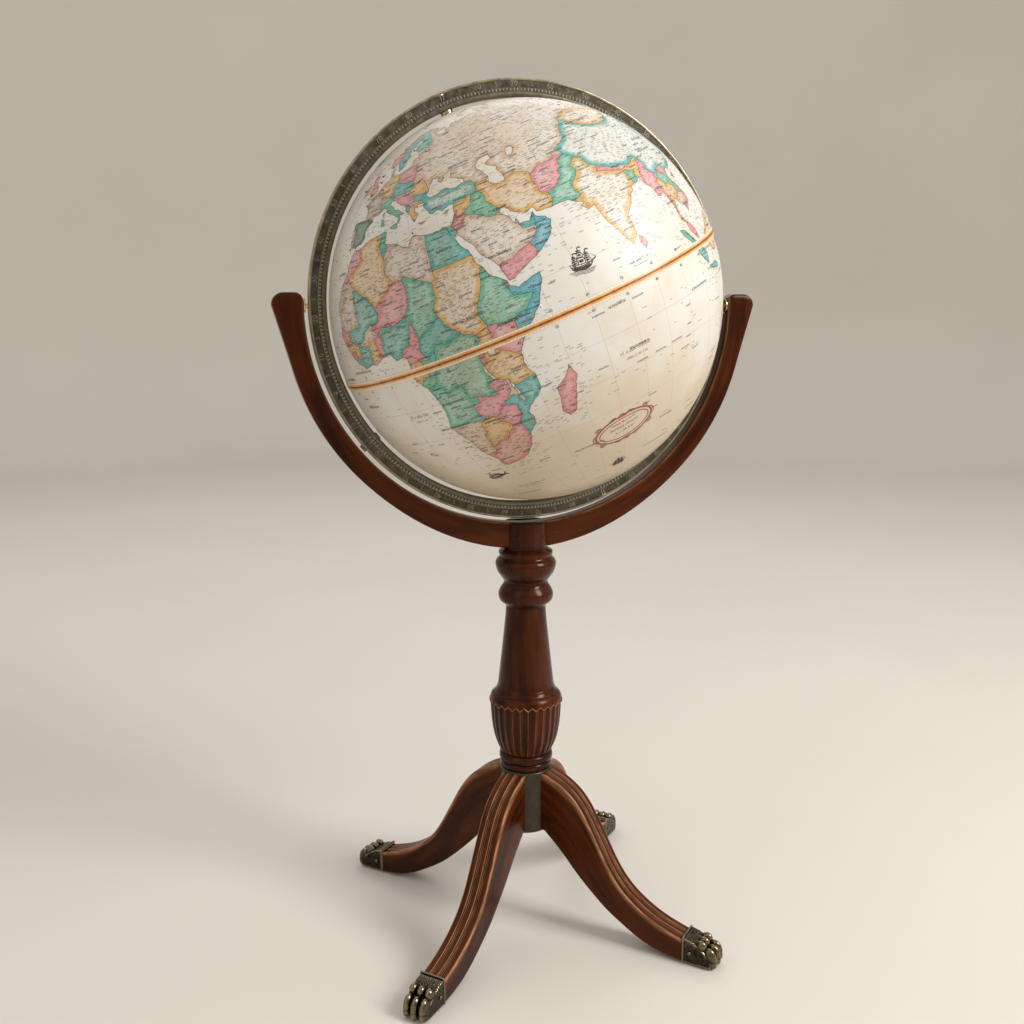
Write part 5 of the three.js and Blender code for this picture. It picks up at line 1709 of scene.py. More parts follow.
def on_sphere(lon: np.ndarray, lat: np.ndarray) -> np.ndarray:
    """Returns unit rows in the pole's frame for degrees of longitude and latitude."""
    turn, up = np.radians(lon) + FIRST_MERIDIAN, np.radians(lat)
    return np.c_[np.cos(up) * np.cos(turn), np.cos(up) * np.sin(turn), np.sin(up)]


def degrees_of(unit: np.ndarray) -> tuple[np.ndarray, np.ndarray]:
    """Returns longitude and latitude in degrees for unit rows in the pole's frame."""
    lon = np.degrees(np.arctan2(unit[:, 1], unit[:, 0]) - FIRST_MERIDIAN)
    return (lon + 180) % 360 - 180, np.degrees(np.arcsin(np.clip(unit[:, 2], -1, 1)))


@dataclass
class Atlas:
    """Which land and which country every place on the ball belongs to."""

    gap: float = 0.42
    waver: float = 0.22

    def __post_init__(self) -> None:
        """Roughens every outline once."""
        self.lands = [(tint, wash, self.roughened(outline(text))) for _, tint, wash, text in LANDS]
        self.waters = [self.roughened(outline(text)) for text in WATERS]
        self.countries = [(tint, wash, self.roughened(outline(text))) for tint, wash, text in COUNTRIES]

    def roughened(self, points: np.ndarray) -> np.ndarray:
        """Adds points along an outline and moves them like a surveyed line.

        Args:
            points: the outline's corners in degrees.

        Returns:
            The denser outline.
        """
        rows = []
        for a, b in zip(points, np.roll(points, -1, axis=0)):
            narrow = math.cos(math.radians((a[1] + b[1]) / 2))
            count = max(1, math.ceil(math.hypot((b[0] - a[0]) * narrow, b[1] - a[1]) / self.gap))
            rows += [a + (b - a) * k / count for k in range(count)]
        dense = np.array(rows)
        spots = on_sphere(dense[:, 0], dense[:, 1])
        for i, spot in enumerate(spots):
            push = noise.noise_vector(Vector(spot) * 38) + noise.noise_vector(Vector(spot) * 90) * 0.55
            dense[i, 0] += push.x * self.waver / max(math.cos(math.radians(dense[i, 1])), 0.1)
            dense[i, 1] += push.y * self.waver
        return dense

    def inside(self, ring: np.ndarray, lon: np.ndarray, lat: np.ndarray) -> np.ndarray:
        """Tells which places lie inside a ring.

        Args:
            ring: the outline in degrees.
            lon: longitudes.
            lat: latitudes, in rising order.

        Returns:
            True for each place inside.
        """
        found = np.zeros(len(lon), bool)
        shifts = [0] + [360] * (ring[:, 0].max() > 180) + [-360] * (ring[:, 0].min() < -180)
        ends = np.roll(ring, -1, axis=0)
        low = np.searchsorted(lat, np.minimum(ring[:, 1], ends[:, 1]))
        high = np.searchsorted(lat, np.maximum(ring[:, 1], ends[:, 1]))
        for shift in shifts:
            odd = np.zeros(len(lon), bool)
            for (x0, y0), (x1, y1), i, j in zip(ring, ends, low, high):
                if j > i:
                    odd[i:j] ^= lon[i:j] + shift < x0 + (lat[i:j] - y0) * (x1 - x0) / (y1 - y0)
            found |= odd
        return found

    def regions(self, unit: np.ndarray) -> np.ndarray:
        """Numbers the region of each place: 0 for water, then the lands, then the countries.

        Args:
            unit: places on the unit sphere.

        Returns:
            A number for each place.
        """
        lon, lat = degrees_of(unit)
        order = np.argsort(lat)
        lon, lat = lon[order], lat[order]
        region = np.zeros(len(lon), int)
        for i, (_, _, ring) in enumerate(self.lands):
            region[self.inside(ring, lon, lat)] = i + 1
        for ring in self.waters:
            region[self.inside(ring, lon, lat)] = 0
        ground = region > 0
        ice = [i + 1 for i, row in enumerate(LANDS) if row[1] is Tint.ICE]
        ground &= ~np.isin(region, ice)
        for i, (_, _, ring) in enumerate(self.countries):
            region[ground & self.inside(ring, lon, lat)] = len(self.lands) + i + 1
        back = np.empty_like(region)
        back[order] = region
        return back

    def washes(self, region: np.ndarray) -> tuple[np.ndarray, np.ndarray]:
        """Looks up the print of each region.

        Args:
            region: region numbers.

        Returns:
            Each one's tint and the depth of its inland wash.
        """
        rows = [(Tint.SAND, 0.0), *((t, w) for t, w, _ in self.lands), *((t, w) for t, w, _ in self.countries)]
        tints = np.array([t.value for t, _ in rows])
        return tints[region], np.array([w for _, w in rows])[region]


def sides(faces: np.ndarray) -> np.ndarray:
    """Returns the three sides of every triangle, each with its lower point first."""
    return np.sort(np.concatenate([faces[:, [0, 1]], faces[:, [1, 2]], faces[:, [2, 0]]]), axis=1)


def reach_of(height: float) -> float:
    """Returns how far from the disc's middle a parallel of the unit sphere lies."""
    return math.sqrt((1 - height) / (1 + height))


@dataclass
class Hemisphere:
    """One shell of the ball: a printed outer skin cut along every border, and a plain inner skin."""

    atlas: Atlas
    sign: int
    name: str
    thick: float = 2.6
    seam: float = 0.15
    pole_hole: float = 7.3
    margin: float = 1.035
    fine_within: float = 9.0
    clear: float = 0.75
    seam_points: int = 900
    hole_points: int = 60

    def rims(self) -> tuple[float, float]:
        """Returns the heights of the seam and of the pole hole on the unit sphere."""
        return self.seam * MM / BALL_RADIUS, math.sqrt(1 - (self.pole_hole * MM / BALL_RADIUS) ** 2)

    def flat(self, unit: np.ndarray) -> np.ndarray:
        """Projects unit rows onto the disc seen from the far pole."""
        return unit[:, :2] / (1 + self.sign * unit[:, 2:3])

    def lifted(self, disc: np.ndarray) -> np.ndarray:
        """Puts disc points back on the unit sphere."""
        square = (disc**2).sum(1, keepdims=True)
        return np.c_[2 * disc / (1 + square), self.sign * (1 - square) / (1 + square)]

    def circle(self, height: float, count: int) -> np.ndarray:
        """Returns a parallel at a height on the unit sphere, as disc points."""
        turn = np.linspace(0, TURN, count, endpoint=False)
        return np.c_[np.cos(turn), np.sin(turn)] * reach_of(height)

    def strands(self) -> list[np.ndarray]:
        """Returns every border line on this half as closed rings of disc points."""
        rings = [r for _, _, r in self.atlas.lands] + self.atlas.waters + [r for _, _, r in self.atlas.countries]
        return [self.flat(on_sphere(*r.T)) for r in rings if (r[:, 1] * self.sign).max() > -3]

    def fans(self, points: np.ndarray, edges: Sequence[tuple[int, int]]) -> tuple[np.ndarray, np.ndarray]:
        """Triangulates points, keeping the edges."""
        made = geometry.delaunay_2d_cdt([Vector(p) for p in points], edges, [], 0, 1e-7, False)
        return np.array([tuple(v) for v in made[0]]), np.array([f for f in made[2] if len(f) == 3])

    def net(self) -> tuple[np.ndarray, np.ndarray, np.ndarray]:
        """Cuts the half into triangles along every border.

        Returns:
            Disc points, triangles, and each triangle's region.
        """
        points, edges = [], []
        total = 0
        for ring in self.strands():
            near = (ring**2).sum(1) < self.margin**2
            size = len(ring)
            edges += [(total + i, total + (i + 1) % size) for i in range(size) if near[i] and near[(i + 1) % size]]
            points.append(ring)
            total += size
        used = np.unique(np.array(edges))
        renumber = {int(old): new for new, old in enumerate(used)}
        lines = np.concatenate(points)[used]
        edges = [(renumber[a], renumber[b]) for a, b in edges]
        for height, count in zip(self.rims(), (self.seam_points, self.hole_points)):
            start = len(lines)
            lines = np.r_[lines, self.circle(height, count)]
            edges += [(start + i, start + (i + 1) % count) for i in range(count)]
        tree = self.tree(self.lifted(lines))
        grids = []
        for level, reach in ((7, 1e9), (8, self.fine_within)):
            bm = bmesh.new()
            bmesh.ops.create_icosphere(bm, subdivisions=level, radius=1)
            spots = np.array([v.co[:] for v in bm.verts])
            bm.free()
            spots = spots[spots[:, 2] * self.sign > -0.02]
            far = np.array([tree.find(s)[2] for s in spots]) * BALL_RADIUS / MM
            grids.append(spots[(far > self.clear) & (far < reach)])
        grid = np.unique(np.round(np.concatenate(grids), 6), axis=0)
        points = np.r_[lines, self.flat(grid)]
        points, faces = self.fans(points, edges)
        faces, region = self.sorted_faces(points, faces)
        borders, _ = self.marks(faces, region)
        border = np.zeros(len(points), bool)
        border[borders.ravel()] = True
        spans = np.unique(sides(faces), axis=0)
        ends = [tuple(row) for row in borders.tolist()]
        kept = set(ends)
        spans = [s for s in spans[border[spans].all(1)].tolist() if tuple(s) not in kept]
        extra = points[np.array(spans)].mean(1)
        points, faces = self.fans(np.r_[points, extra], ends + self.rim_edges(points))
        return points, *self.sorted_faces(points, faces)

    def rim_edges(self, points: np.ndarray) -> list[tuple[int, int]]:
        """Finds the seam's and the pole hole's edges.

        Args:
            points: disc points.

        Returns:
            Pairs of point numbers, in order round each rim.
        """
        edges = []
        reach = np.hypot(points[:, 0], points[:, 1])
        for height in self.rims():
            ring = np.where(abs(reach - reach_of(height)) < 2e-5)[0]
            order = ring[np.argsort(np.arctan2(points[ring, 1], points[ring, 0]))]
            edges += list(zip(order.tolist(), np.roll(order, -1).tolist()))
        return edges

    def tree(self, spots: np.ndarray) -> kdtree.KDTree:
        """Grows a search tree.

        Args:
            spots: the points.

        Returns:
            The balanced tree.
        """
        tree = kdtree.KDTree(len(spots))
        for i, spot in enumerate(spots):
            tree.insert(spot, i)
        tree.balance()
        return tree

    def sorted_faces(self, points: np.ndarray, faces: np.ndarray) -> tuple[np.ndarray, np.ndarray]:
        """Drops triangles with no area.

        Args:
            points: disc points.
            faces: triangles among them.

        Returns:
            The triangles left and their regions.
        """
        a, b, c = (points[faces[:, k]] for k in range(3))
        area = abs((b[:, 0] - a[:, 0]) * (c[:, 1] - a[:, 1]) - (b[:, 1] - a[:, 1]) * (c[:, 0] - a[:, 0]))
        faces = faces[area > 1e-9]
        return faces, self.atlas.regions(self.lifted(points[faces].mean(1)))

    def marks(self, faces: np.ndarray, region: np.ndarray) -> tuple[np.ndarray, np.ndarray]:
        """Finds the borders.

        Args:
            faces: the triangles.
            region: each one's region.

        Returns:
            The edges between two regions, and those among them on a coast.
        """
        spans = sides(faces)
        owner = np.tile(region, 3)
        order = np.lexsort((spans[:, 1], spans[:, 0]))
        spans, owner = spans[order], owner[order]
        same = (spans[1:] == spans[:-1]).all(1)
        first, second = owner[:-1][same], owner[1:][same]
        shared = spans[1:][same]
        differ = first != second
        return shared[differ], shared[differ & ((first == 0) | (second == 0))]

    def distances(self, points: np.ndarray, marks: np.ndarray) -> np.ndarray:
        """Measures how far each point lies from the marked edges.

        Args:
            points: disc points.
            marks: the edges.

        Returns:
            Distances in mm, no more than 60.
        """
        unit = self.lifted(points)
        spots = np.concatenate([unit[np.unique(marks)], unit[marks].mean(1)])
        tree = self.tree(spots)
        gaps = np.array([tree.find(s)[2] for s in unit]) * BALL_RADIUS / MM
        gaps[np.unique(marks)] = 0
        return np.minimum(gaps, 60)

    def build(self) -> None:
        """Makes the shell with its printing attributes."""
        points, faces, region = self.net()
        borders, coasts = self.marks(faces, region)
        edge, coast = self.distances(points, borders), self.distances(points, coasts)
        reach = np.hypot(*points[faces].mean(1).T)
        high, low = map(reach_of, self.rims())
        keep = (reach > low) & (reach < high)
        faces, region = faces[keep], region[keep]
        used, flat = np.unique(faces, return_inverse=True)
        faces = flat.reshape(-1, 3)
        spots = self.lifted(points[used]) * BALL_RADIUS
        a, b, c = (spots[faces[:, k]] for k in range(3))
        turned = (np.cross(b - a, c - a) * a).sum(1) < 0
        faces[turned] = faces[turned][:, ::-1]
        mesh = bpy.data.meshes.new(self.name)
        mesh.from_pydata(spots.tolist(), [], faces.tolist())
        write(mesh, "edge", "FLOAT", "POINT", edge[used])
        write(mesh, "coast", "FLOAT", "POINT", coast[used])
        tint, wash = self.atlas.washes(region)
        write(mesh, "tint", "FLOAT_COLOR", "CORNER", np.repeat(tint, 3, axis=0))
        write(mesh, "wash", "FLOAT", "CORNER", np.repeat(wash, 3))
        write(mesh, "land", "FLOAT", "CORNER", np.repeat((region > 0).astype(float), 3))
        shell = Piece(f"{self.name}_printed", Body.GLOBE, Slot.MAP, MAP_PAPER, [self.name], FROM_POLE, sharp=50)
        shell.settle(self.lined(mesh))

    def lined(self, mesh: bpy.types.Mesh) -> bpy.types.Mesh:
        """Adds the inner skin and closes the rims.

        Args:
            mesh: the outer skin.

        Returns:
            The same mesh, closed.
        """
        bm = bmesh.new()
        bm.from_mesh(mesh)
        outer = set(bm.faces)
        made = bmesh.ops.create_uvsphere(bm, u_segments=90, v_segments=60, radius=BALL_RADIUS - self.thick * MM)
        inner = [f for f in bm.faces if f not in outer]
        normal = (0, 0, self.sign)
        geom = made["verts"] + list({e for f in inner for e in f.edges}) + inner
        cut = bmesh.ops.bisect_plane(bm, geom=geom, plane_co=(0, 0, self.sign * self.seam * MM), plane_no=normal,
                                     clear_inner=True, dist=1e-6)["geom"]
        top = math.sqrt((BALL_RADIUS - self.thick * MM) ** 2 - (self.pole_hole * MM) ** 2)
        bmesh.ops.bisect_plane(bm, geom=[g for g in cut if g.is_valid], plane_co=(0, 0, self.sign * top),
                               plane_no=normal, clear_outer=True, dist=1e-6)
        inner = [f for f in bm.faces if f not in outer]
        bmesh.ops.reverse_faces(bm, faces=inner)
        rims = [e for e in bm.edges if e.is_boundary]
        for half in (False, True):
            loop = [e for e in rims if (abs(e.verts[0].co.z) > BALL_RADIUS / 2) is half]
            bmesh.ops.bridge_loops(bm, edges=loop)
        bmesh.ops.triangulate(bm, faces=[f for f in bm.faces if len(f.verts) > 4])
        bm.to_mesh(mesh)
        bm.free()
        return mesh


@dataclass
class Pen:
    """Ink drawings laid on the ball: strokes in mm, east and north of a place."""

    name: str
    lon: float
    lat: float
    turn: float = 0.0
    scale: float = 1.0
    finish: Ink = BLACK_INK
    bold: float = 1.0
    strokes: list[tuple[list[Pair], float]] = field(default_factory=list)

    def line(self, points: Iterable[Pair], width: float = 0.34) -> "Pen":
        """Adds a polyline of some width."""
        self.strokes.append((list(points), width))
        return self

    def curve(self, points: Sequence[Pair], width: float = 0.34) -> "Pen":
        """Adds a smooth line through points."""
        return self.line(spline(points, 0.8 / self.scale, 100), width)

    def oval(self, x: float, y: float, wide: float, tall: float, width: float = 0.34, start: float = 0.0,
             end: float = TURN) -> "Pen":
        """Adds an ellipse or a part of one."""
        return self.line([(x + wide * math.cos(a), y + tall * math.sin(a)) for a in np.linspace(start, end, 49)], width)

    def scribble(self, x: float, y: float, long: float, tall: float, seed: int, width: float = 0.3) -> "Pen":
        """Adds a row of plain engraver's strokes that spells nothing.

        Args:
            x: where the row starts.
            y: its foot.
            long: its length.
            tall: height of the tallest strokes.
            seed: picks the pattern.
            width: width of a stroke.

        Returns:
            The pen itself.
        """
        pick = np.random.default_rng(seed)
        at = x
        while at < x + long:
            high = tall * pick.choice((0.62, 0.62, 1.0))
            self.line([(at, y), (at + tall * 0.08, y + high)], width)
            at += tall * (0.85 if pick.random() < 0.16 else 0.34)
        return self

    def settle(self) -> None:
        """Wraps the strokes on the ball and hands them over."""
        data = bpy.data.curves.new(self.name, "CURVE")
        data.dimensions, data.bevel_depth, data.bevel_resolution, data.use_fill_caps = "3D", 0.5, 1, True
        for points, width in self.strokes:
            stroke = data.splines.new("POLY")
            stroke.points.add(len(points) - 1)
            for spot, (x, y) in zip(stroke.points, points):
                spot.co, spot.radius = (x * self.scale, y * self.scale, 0, 1), width * self.bold
        mesh = mesh_of(data)
        at = points_of(mesh).astype(float)
        turn = math.radians(self.turn)
        a = at[:, 0] * math.cos(turn) - at[:, 1] * math.sin(turn)
        b = at[:, 0] * math.sin(turn) + at[:, 1] * math.cos(turn)
        lay(mesh, a, b, at[:, 2] * 0.3 + 0.02, self.lon, self.lat)
        Piece(self.name, Body.GLOBE, Slot.MAP, self.finish, (), FROM_POLE).settle(mesh)


def lay(mesh: bpy.types.Mesh, east: np.ndarray, north: np.ndarray, high: np.ndarray, lon: float, lat: float) -> None:
    """Bends flat work onto the ball.

    Args:
        mesh: the flat work.
        east: distance east of the place, in mm.
        north: distance north of it.
        high: height above the ball's skin.
        lon: longitude of the place in degrees.
        lat: its latitude.
    """
    centre = on_sphere(np.array([lon]), np.array([lat]))[0]
    side = np.cross((0, 0, 1), centre)
    side /= np.linalg.norm(side)
    ahead = np.cross(centre, side)
    reach = np.hypot(east, north) * MM / BALL_RADIUS
    spread = np.sinc(reach / math.pi) * MM / BALL_RADIUS
    unit = np.cos(reach)[:, None] * centre + (east * spread)[:, None] * side + (north * spread)[:, None] * ahead
    spots = unit * (BALL_RADIUS + high * MM)[:, None]
    mesh.vertices.foreach_set("co", spots.astype(np.float32).ravel())
    mesh.update()


def mesh_of(data: bpy.types.Curve) -> bpy.types.Mesh:
    """Turns a curve or a text into a mesh.

    Args:
        data: the curve; it is removed.

    Returns:
        The mesh.
    """
    holder = bpy.data.objects.new("holder", data)
    bpy.context.scene.collection.objects.link(holder)
    graph = bpy.context.evaluated_depsgraph_get()
    mesh = bpy.data.meshes.new_from_object(holder.evaluated_get(graph))
    bpy.data.objects.remove(holder)
    bpy.data.curves.remove(data)
    return mesh


def figure(text: str, size: float, depth: float) -> bpy.types.Mesh:
    """Returns a centred number as a mesh standing on its own plane.

    Args:
        text: the figures.
        size: their size in metres.
        depth: how far they stand up.

    Returns:
        The mesh, its back at height 0.
    """
    data = bpy.data.curves.new("figure", "FONT")
    data.body, data.size, data.align_x, data.align_y = text, size, "CENTER", "CENTER"
    data.extrude, data.resolution_u, data.offset = depth / 2, 2, size * 0.012
    mesh = mesh_of(data)
    mesh.transform(Matrix.Translation((0, 0, depth / 2)))
    return mesh


@dataclass
class Ball:
    """The map ball: two printed shells, the equator band, its numbers and the engraved figures."""

    tape_inner: float = 203.5
    tape_outer: float = 204.0
    tape_half: float = 4.0
    number_size: float = 3.6
    number_row: float = 7.4

    def numbers(self) -> None:
        """Prints the degrees beside the equator."""
        whole = bmesh.new()
        for value in range(0, 360, 10):
            lon = value if value <= 180 else value - 360
            for side in (1, -1):
                mesh = figure(str(abs(lon)), self.number_size, 0.04)
                at = points_of(mesh).astype(float)
                lay(mesh, at[:, 0], at[:, 1] + side * self.number_row, at[:, 2], float(lon), 0.0)
                whole.from_mesh(mesh)
                bpy.data.meshes.remove(mesh)
        bmesh.ops.dissolve_degenerate(whole, edges=whole.edges, dist=1e-6)
        Piece("degree_figures", Body.GLOBE, Slot.MAP, BLACK_INK, (), FROM_POLE).settle(whole)

    def tape(self) -> None:
        """Wraps the orange band."""
        bm = bmesh.new()
        a, b, h, soft = self.tape_inner * MM, self.tape_outer * MM, self.tape_half * MM, 0.25 * MM
        section = [(a, -h), (b - soft, -h), (b, -h + soft * 2), (b, 0), (b, h - soft * 2), (b - soft, h), (a, h)]
        verts = [bm.verts.new((r, 0, z)) for r, z in section]
        edges = [bm.edges.new(pair) for pair in zip(verts, verts[1:] + verts[:1])]
        bmesh.ops.spin(bm, geom=verts + edges, cent=(0, 0, 0), axis=(0, 0, 1), angle=TURN, steps=720, use_merge=True)
        bmesh.ops.remove_doubles(bm, verts=bm.verts, dist=1e-6)
        bmesh.ops.recalc_face_normals(bm, faces=bm.faces)
        Piece("equator_band", Body.GLOBE, Slot.BAND, BAND_PAPER, ["equator_tape"], FROM_POLE, sharp=60).settle(bm)

    def bushes(self) -> None:
        """Turns the two pole bushes."""
        for side, label in ((1, "north"), (-1, "south")):
            profile = [(5.2, 199.4), (7.0, 199.6), (7.0, 202.4), (6.6, 202.9)]
            place = FROM_POLE @ Matrix.Rotation(0 if side > 0 else math.pi, 4, "X")
            fitting(f"pole_bush_{label}", Body.GLOBE, place, spun(scaled(profile), 40, 3.3 * MM))

    def ship(self, name: str, lon: float, lat: float, scale: float, turn: float) -> None:
        """Draws a three-masted ship under sail.

        Args:
            name: the piece's name.
            lon: its longitude in degrees.
            lat: its latitude.
            scale: its size.
            turn: its lean in degrees.
        """
        pen = Pen(name, lon, lat, turn, scale, bold=2.3)
        pen.curve([(-9, 0.8), (-7, -2), (0, -3), (7, -2), (10.5, 1.6)], 0.5).curve([(-9, 0.8), (0, 0), (10.5, 1.6)])
        pen.curve([(-7.4, -0.5), (0, -1.6), (7.8, -0.6)], 1.0)
        pen.line([(-9, 0.8), (-10, 3.2), (-6, 2.6), (-5.6, 0.6)], 0.4).line([(10, 1.4), (14.5, 4.2)], 0.4)
        for k in range(6):
            pen.line([(-7 + k * 3, -0.3 - 0.1 * k), (-6.4 + k * 2.7, -1.9)], 0.25)
        for x, tall, wide in ((-5.2, 9, 2.6), (0.4, 13, 3.6), (6.2, 10, 2.9)):
            pen.line([(x, 0), (x + 0.3, tall + 2)], 0.36)
            for low, high, half in ((1.6, tall * 0.52, wide), (tall * 0.56, tall * 0.84, wide * 0.75),
                                    (tall * 0.87, tall, wide * 0.5)):
                middle, left, right = (low + high) / 2, x - half * 0.85, x + half * 0.85
                pen.curve([(x - half, low), (x - half * 0.8 + 0.9, middle), (left, high)], 0.3)
                pen.curve([(x + half, low), (right + 1.1, middle), (right, high)], 0.3)
                pen.line([(x - half * 0.3, middle), (x + half * 0.7, middle)], (high - low) * 0.2)
                pen.line([(x - half, low), (x + half, low)], 0.3).line([(left, high), (right, high)], 0.36)
            pen.curve([(x + 0.3, tall + 2), (x + 2, tall + 2.6), (x + 3.6, tall + 1.9)], 0.5)
        pen.line([(14.5, 4.2), (6.4, 11)], 0.22).line([(14.5, 4.2), (9, 2)], 0.22)
        for k in range(4):
            pen.curve([(-12 + k * 1.5, -3.6 - k), (-4, -3.0 - k), (4, -3.8 - k), (12 - k, -3.2 - k)], 0.22)
        pen.settle()

    def beasts(self) -> None:
        """Draws a spouting fish and a small swimming one."""
        pen = Pen("sea_beast", 11.6, -38.3, 8, 1.25, bold=2.4)
        pen.curve([(-7, 1), (-4, 3.4), (0, 3.8), (4, 2), (7, -0.6), (8.6, -0.2), (10.4, 2)], 0.5)
        pen.curve([(-7, 1), (-6.4, -1.4), (-3, -2.4), (2, -2.2), (6, -1.8), (8.8, -1.2), (10.6, -2.4)], 0.5)
        pen.curve([(-5.6, 0.6), (-2, 1.9), (2, 1.5), (6.6, -0.9)], 0.9)
        pen.curve([(-5, -0.6), (-2, -1), (3, -1), (7.6, -1)], 0.8)
        pen.curve([(10.4, 2), (9.5, 0), (10.6, -2.4)], 0.4)
        pen.curve([(-3.4, 3.4), (-3.8, 6), (-6, 6.6)], 0.3).curve([(-3.2, 3.4), (-2.4, 6.2), (0, 6.8)], 0.3)
        pen.curve([(-1, -2.2), (-0.2, -4.2), (2, -4)], 0.34).line([(-7, 0), (-4.4, -0.2)], 0.3)
        for k in range(7):
            x = k * 1.1 - 2
            pen.curve([(x, 2.6 - k * 0.36), (x + 0.4, 1.2 - k * 0.24), (x, -0.2 - k * 0.1)], 0.2)
        pen.settle()
        pen = Pen("small_fish", -2.6, -24.7, -12, 0.9, bold=1.8)
        pen.curve([(-5, 0), (-2, 2), (2, 1), (5, -0.5), (6.6, 1.4)], 0.42)
        pen.curve([(-5, 0), (-2, -1.6), (2, -1.2), (5, -0.5), (6.4, -2)], 0.42)
        pen.curve([(-1, 1.8), (0.4, 3.6), (1.4, 1.4)], 0.3).oval(-3.4, 0.3, 0.3, 0.3, 0.3)
        pen.settle()

    def titles(self) -> None:
        """Draws the framed title panel and the loose blocks of lettering strokes."""
        pen = Pen("title_frame", 60.3, -37.4, 7, 1.12, RED_INK, 1.85)
        for grow, width in ((0.0, 1.15), (3.3, 0.7)):
            pen.oval(0, 0, 27 - grow, 14.2 - grow, width)
        for sx in (-1, 1):
            for sy in (-1, 1):
                for wide in (2.6, 1.2):  # the scrolls at the corners
                    pen.oval(sx * 22.4, sy * 9.8, wide, wide * 0.8, 0.6)
                pen.curve([(sx * 12, sy * 13.6), (sx * 7, sy * 15.2), (sx * 3, sy * 13.0), (0, sy * 14.2)], 0.8)
            pen.curve([(sx * 26, 5), (sx * 28.6, 3), (sx * 29.4, 0), (sx * 28.6, -3), (sx * 26, -5)], 0.7)
        for sy in (-1, 1):
            pen.oval(0, sy * 14.4, 2.4, 1.5, 0.6)
        pen.scribble(-13, 1.2, 26, 2.4, 4).scribble(-9, -4.0, 18, 1.8, 5).scribble(-11, 6.4, 22, 1.6, 7)
        pen.settle()
        blocks = (("sea_note_one", 68.0, -16.0, 34, 4.0, 11), ("sea_note_two", -22.0, 2.0, 30, 2.6, 12),
                  ("sea_note_three", 4.0, -12.0, 24, 3.2, 13), ("sea_note_four", 77.0, 4.0, 22, 2.2, 14),
                  ("sea_note_five", 20.0, -47.0, 30, 2.8, 15), ("sea_note_six", -150.0, 12.0, 44, 4.0, 16),
                  ("sea_note_seven", -110.0, -24.0, 44, 4.0, 17), ("sea_note_eight", -42.0, 30.0, 36, 4.0, 18))
        for name, lon, lat, long, tall, seed in blocks:
            pen = Pen(name, lon, lat)
            pen.scribble(-long / 2, 0, long, tall, seed, 0.42)
            pen.scribble(-long / 3, -tall * 1.5, long * 0.66, tall * 0.55, seed + 50, 0.28)
            pen.settle()

    def build(self) -> None:
        """Makes everything that turns about the poles."""
        atlas = Atlas()
        Hemisphere(atlas, 1, "shell_north").build()
        Hemisphere(atlas, -1, "shell_south").build()
        self.tape()
        self.numbers()
        self.bushes()
        self.ship("large_ship", 61.5, 8.8, 1.05, -6)
        self.ship("small_ship", 57.0, -53.3, 0.6, 4)
        self.ship("far_ship", -150.0, 30.0, 0.9, 0)
        self.ship("ocean_ship", -95.0, -45.0, 0.8, 0)
        self.beasts()
        self.titles()


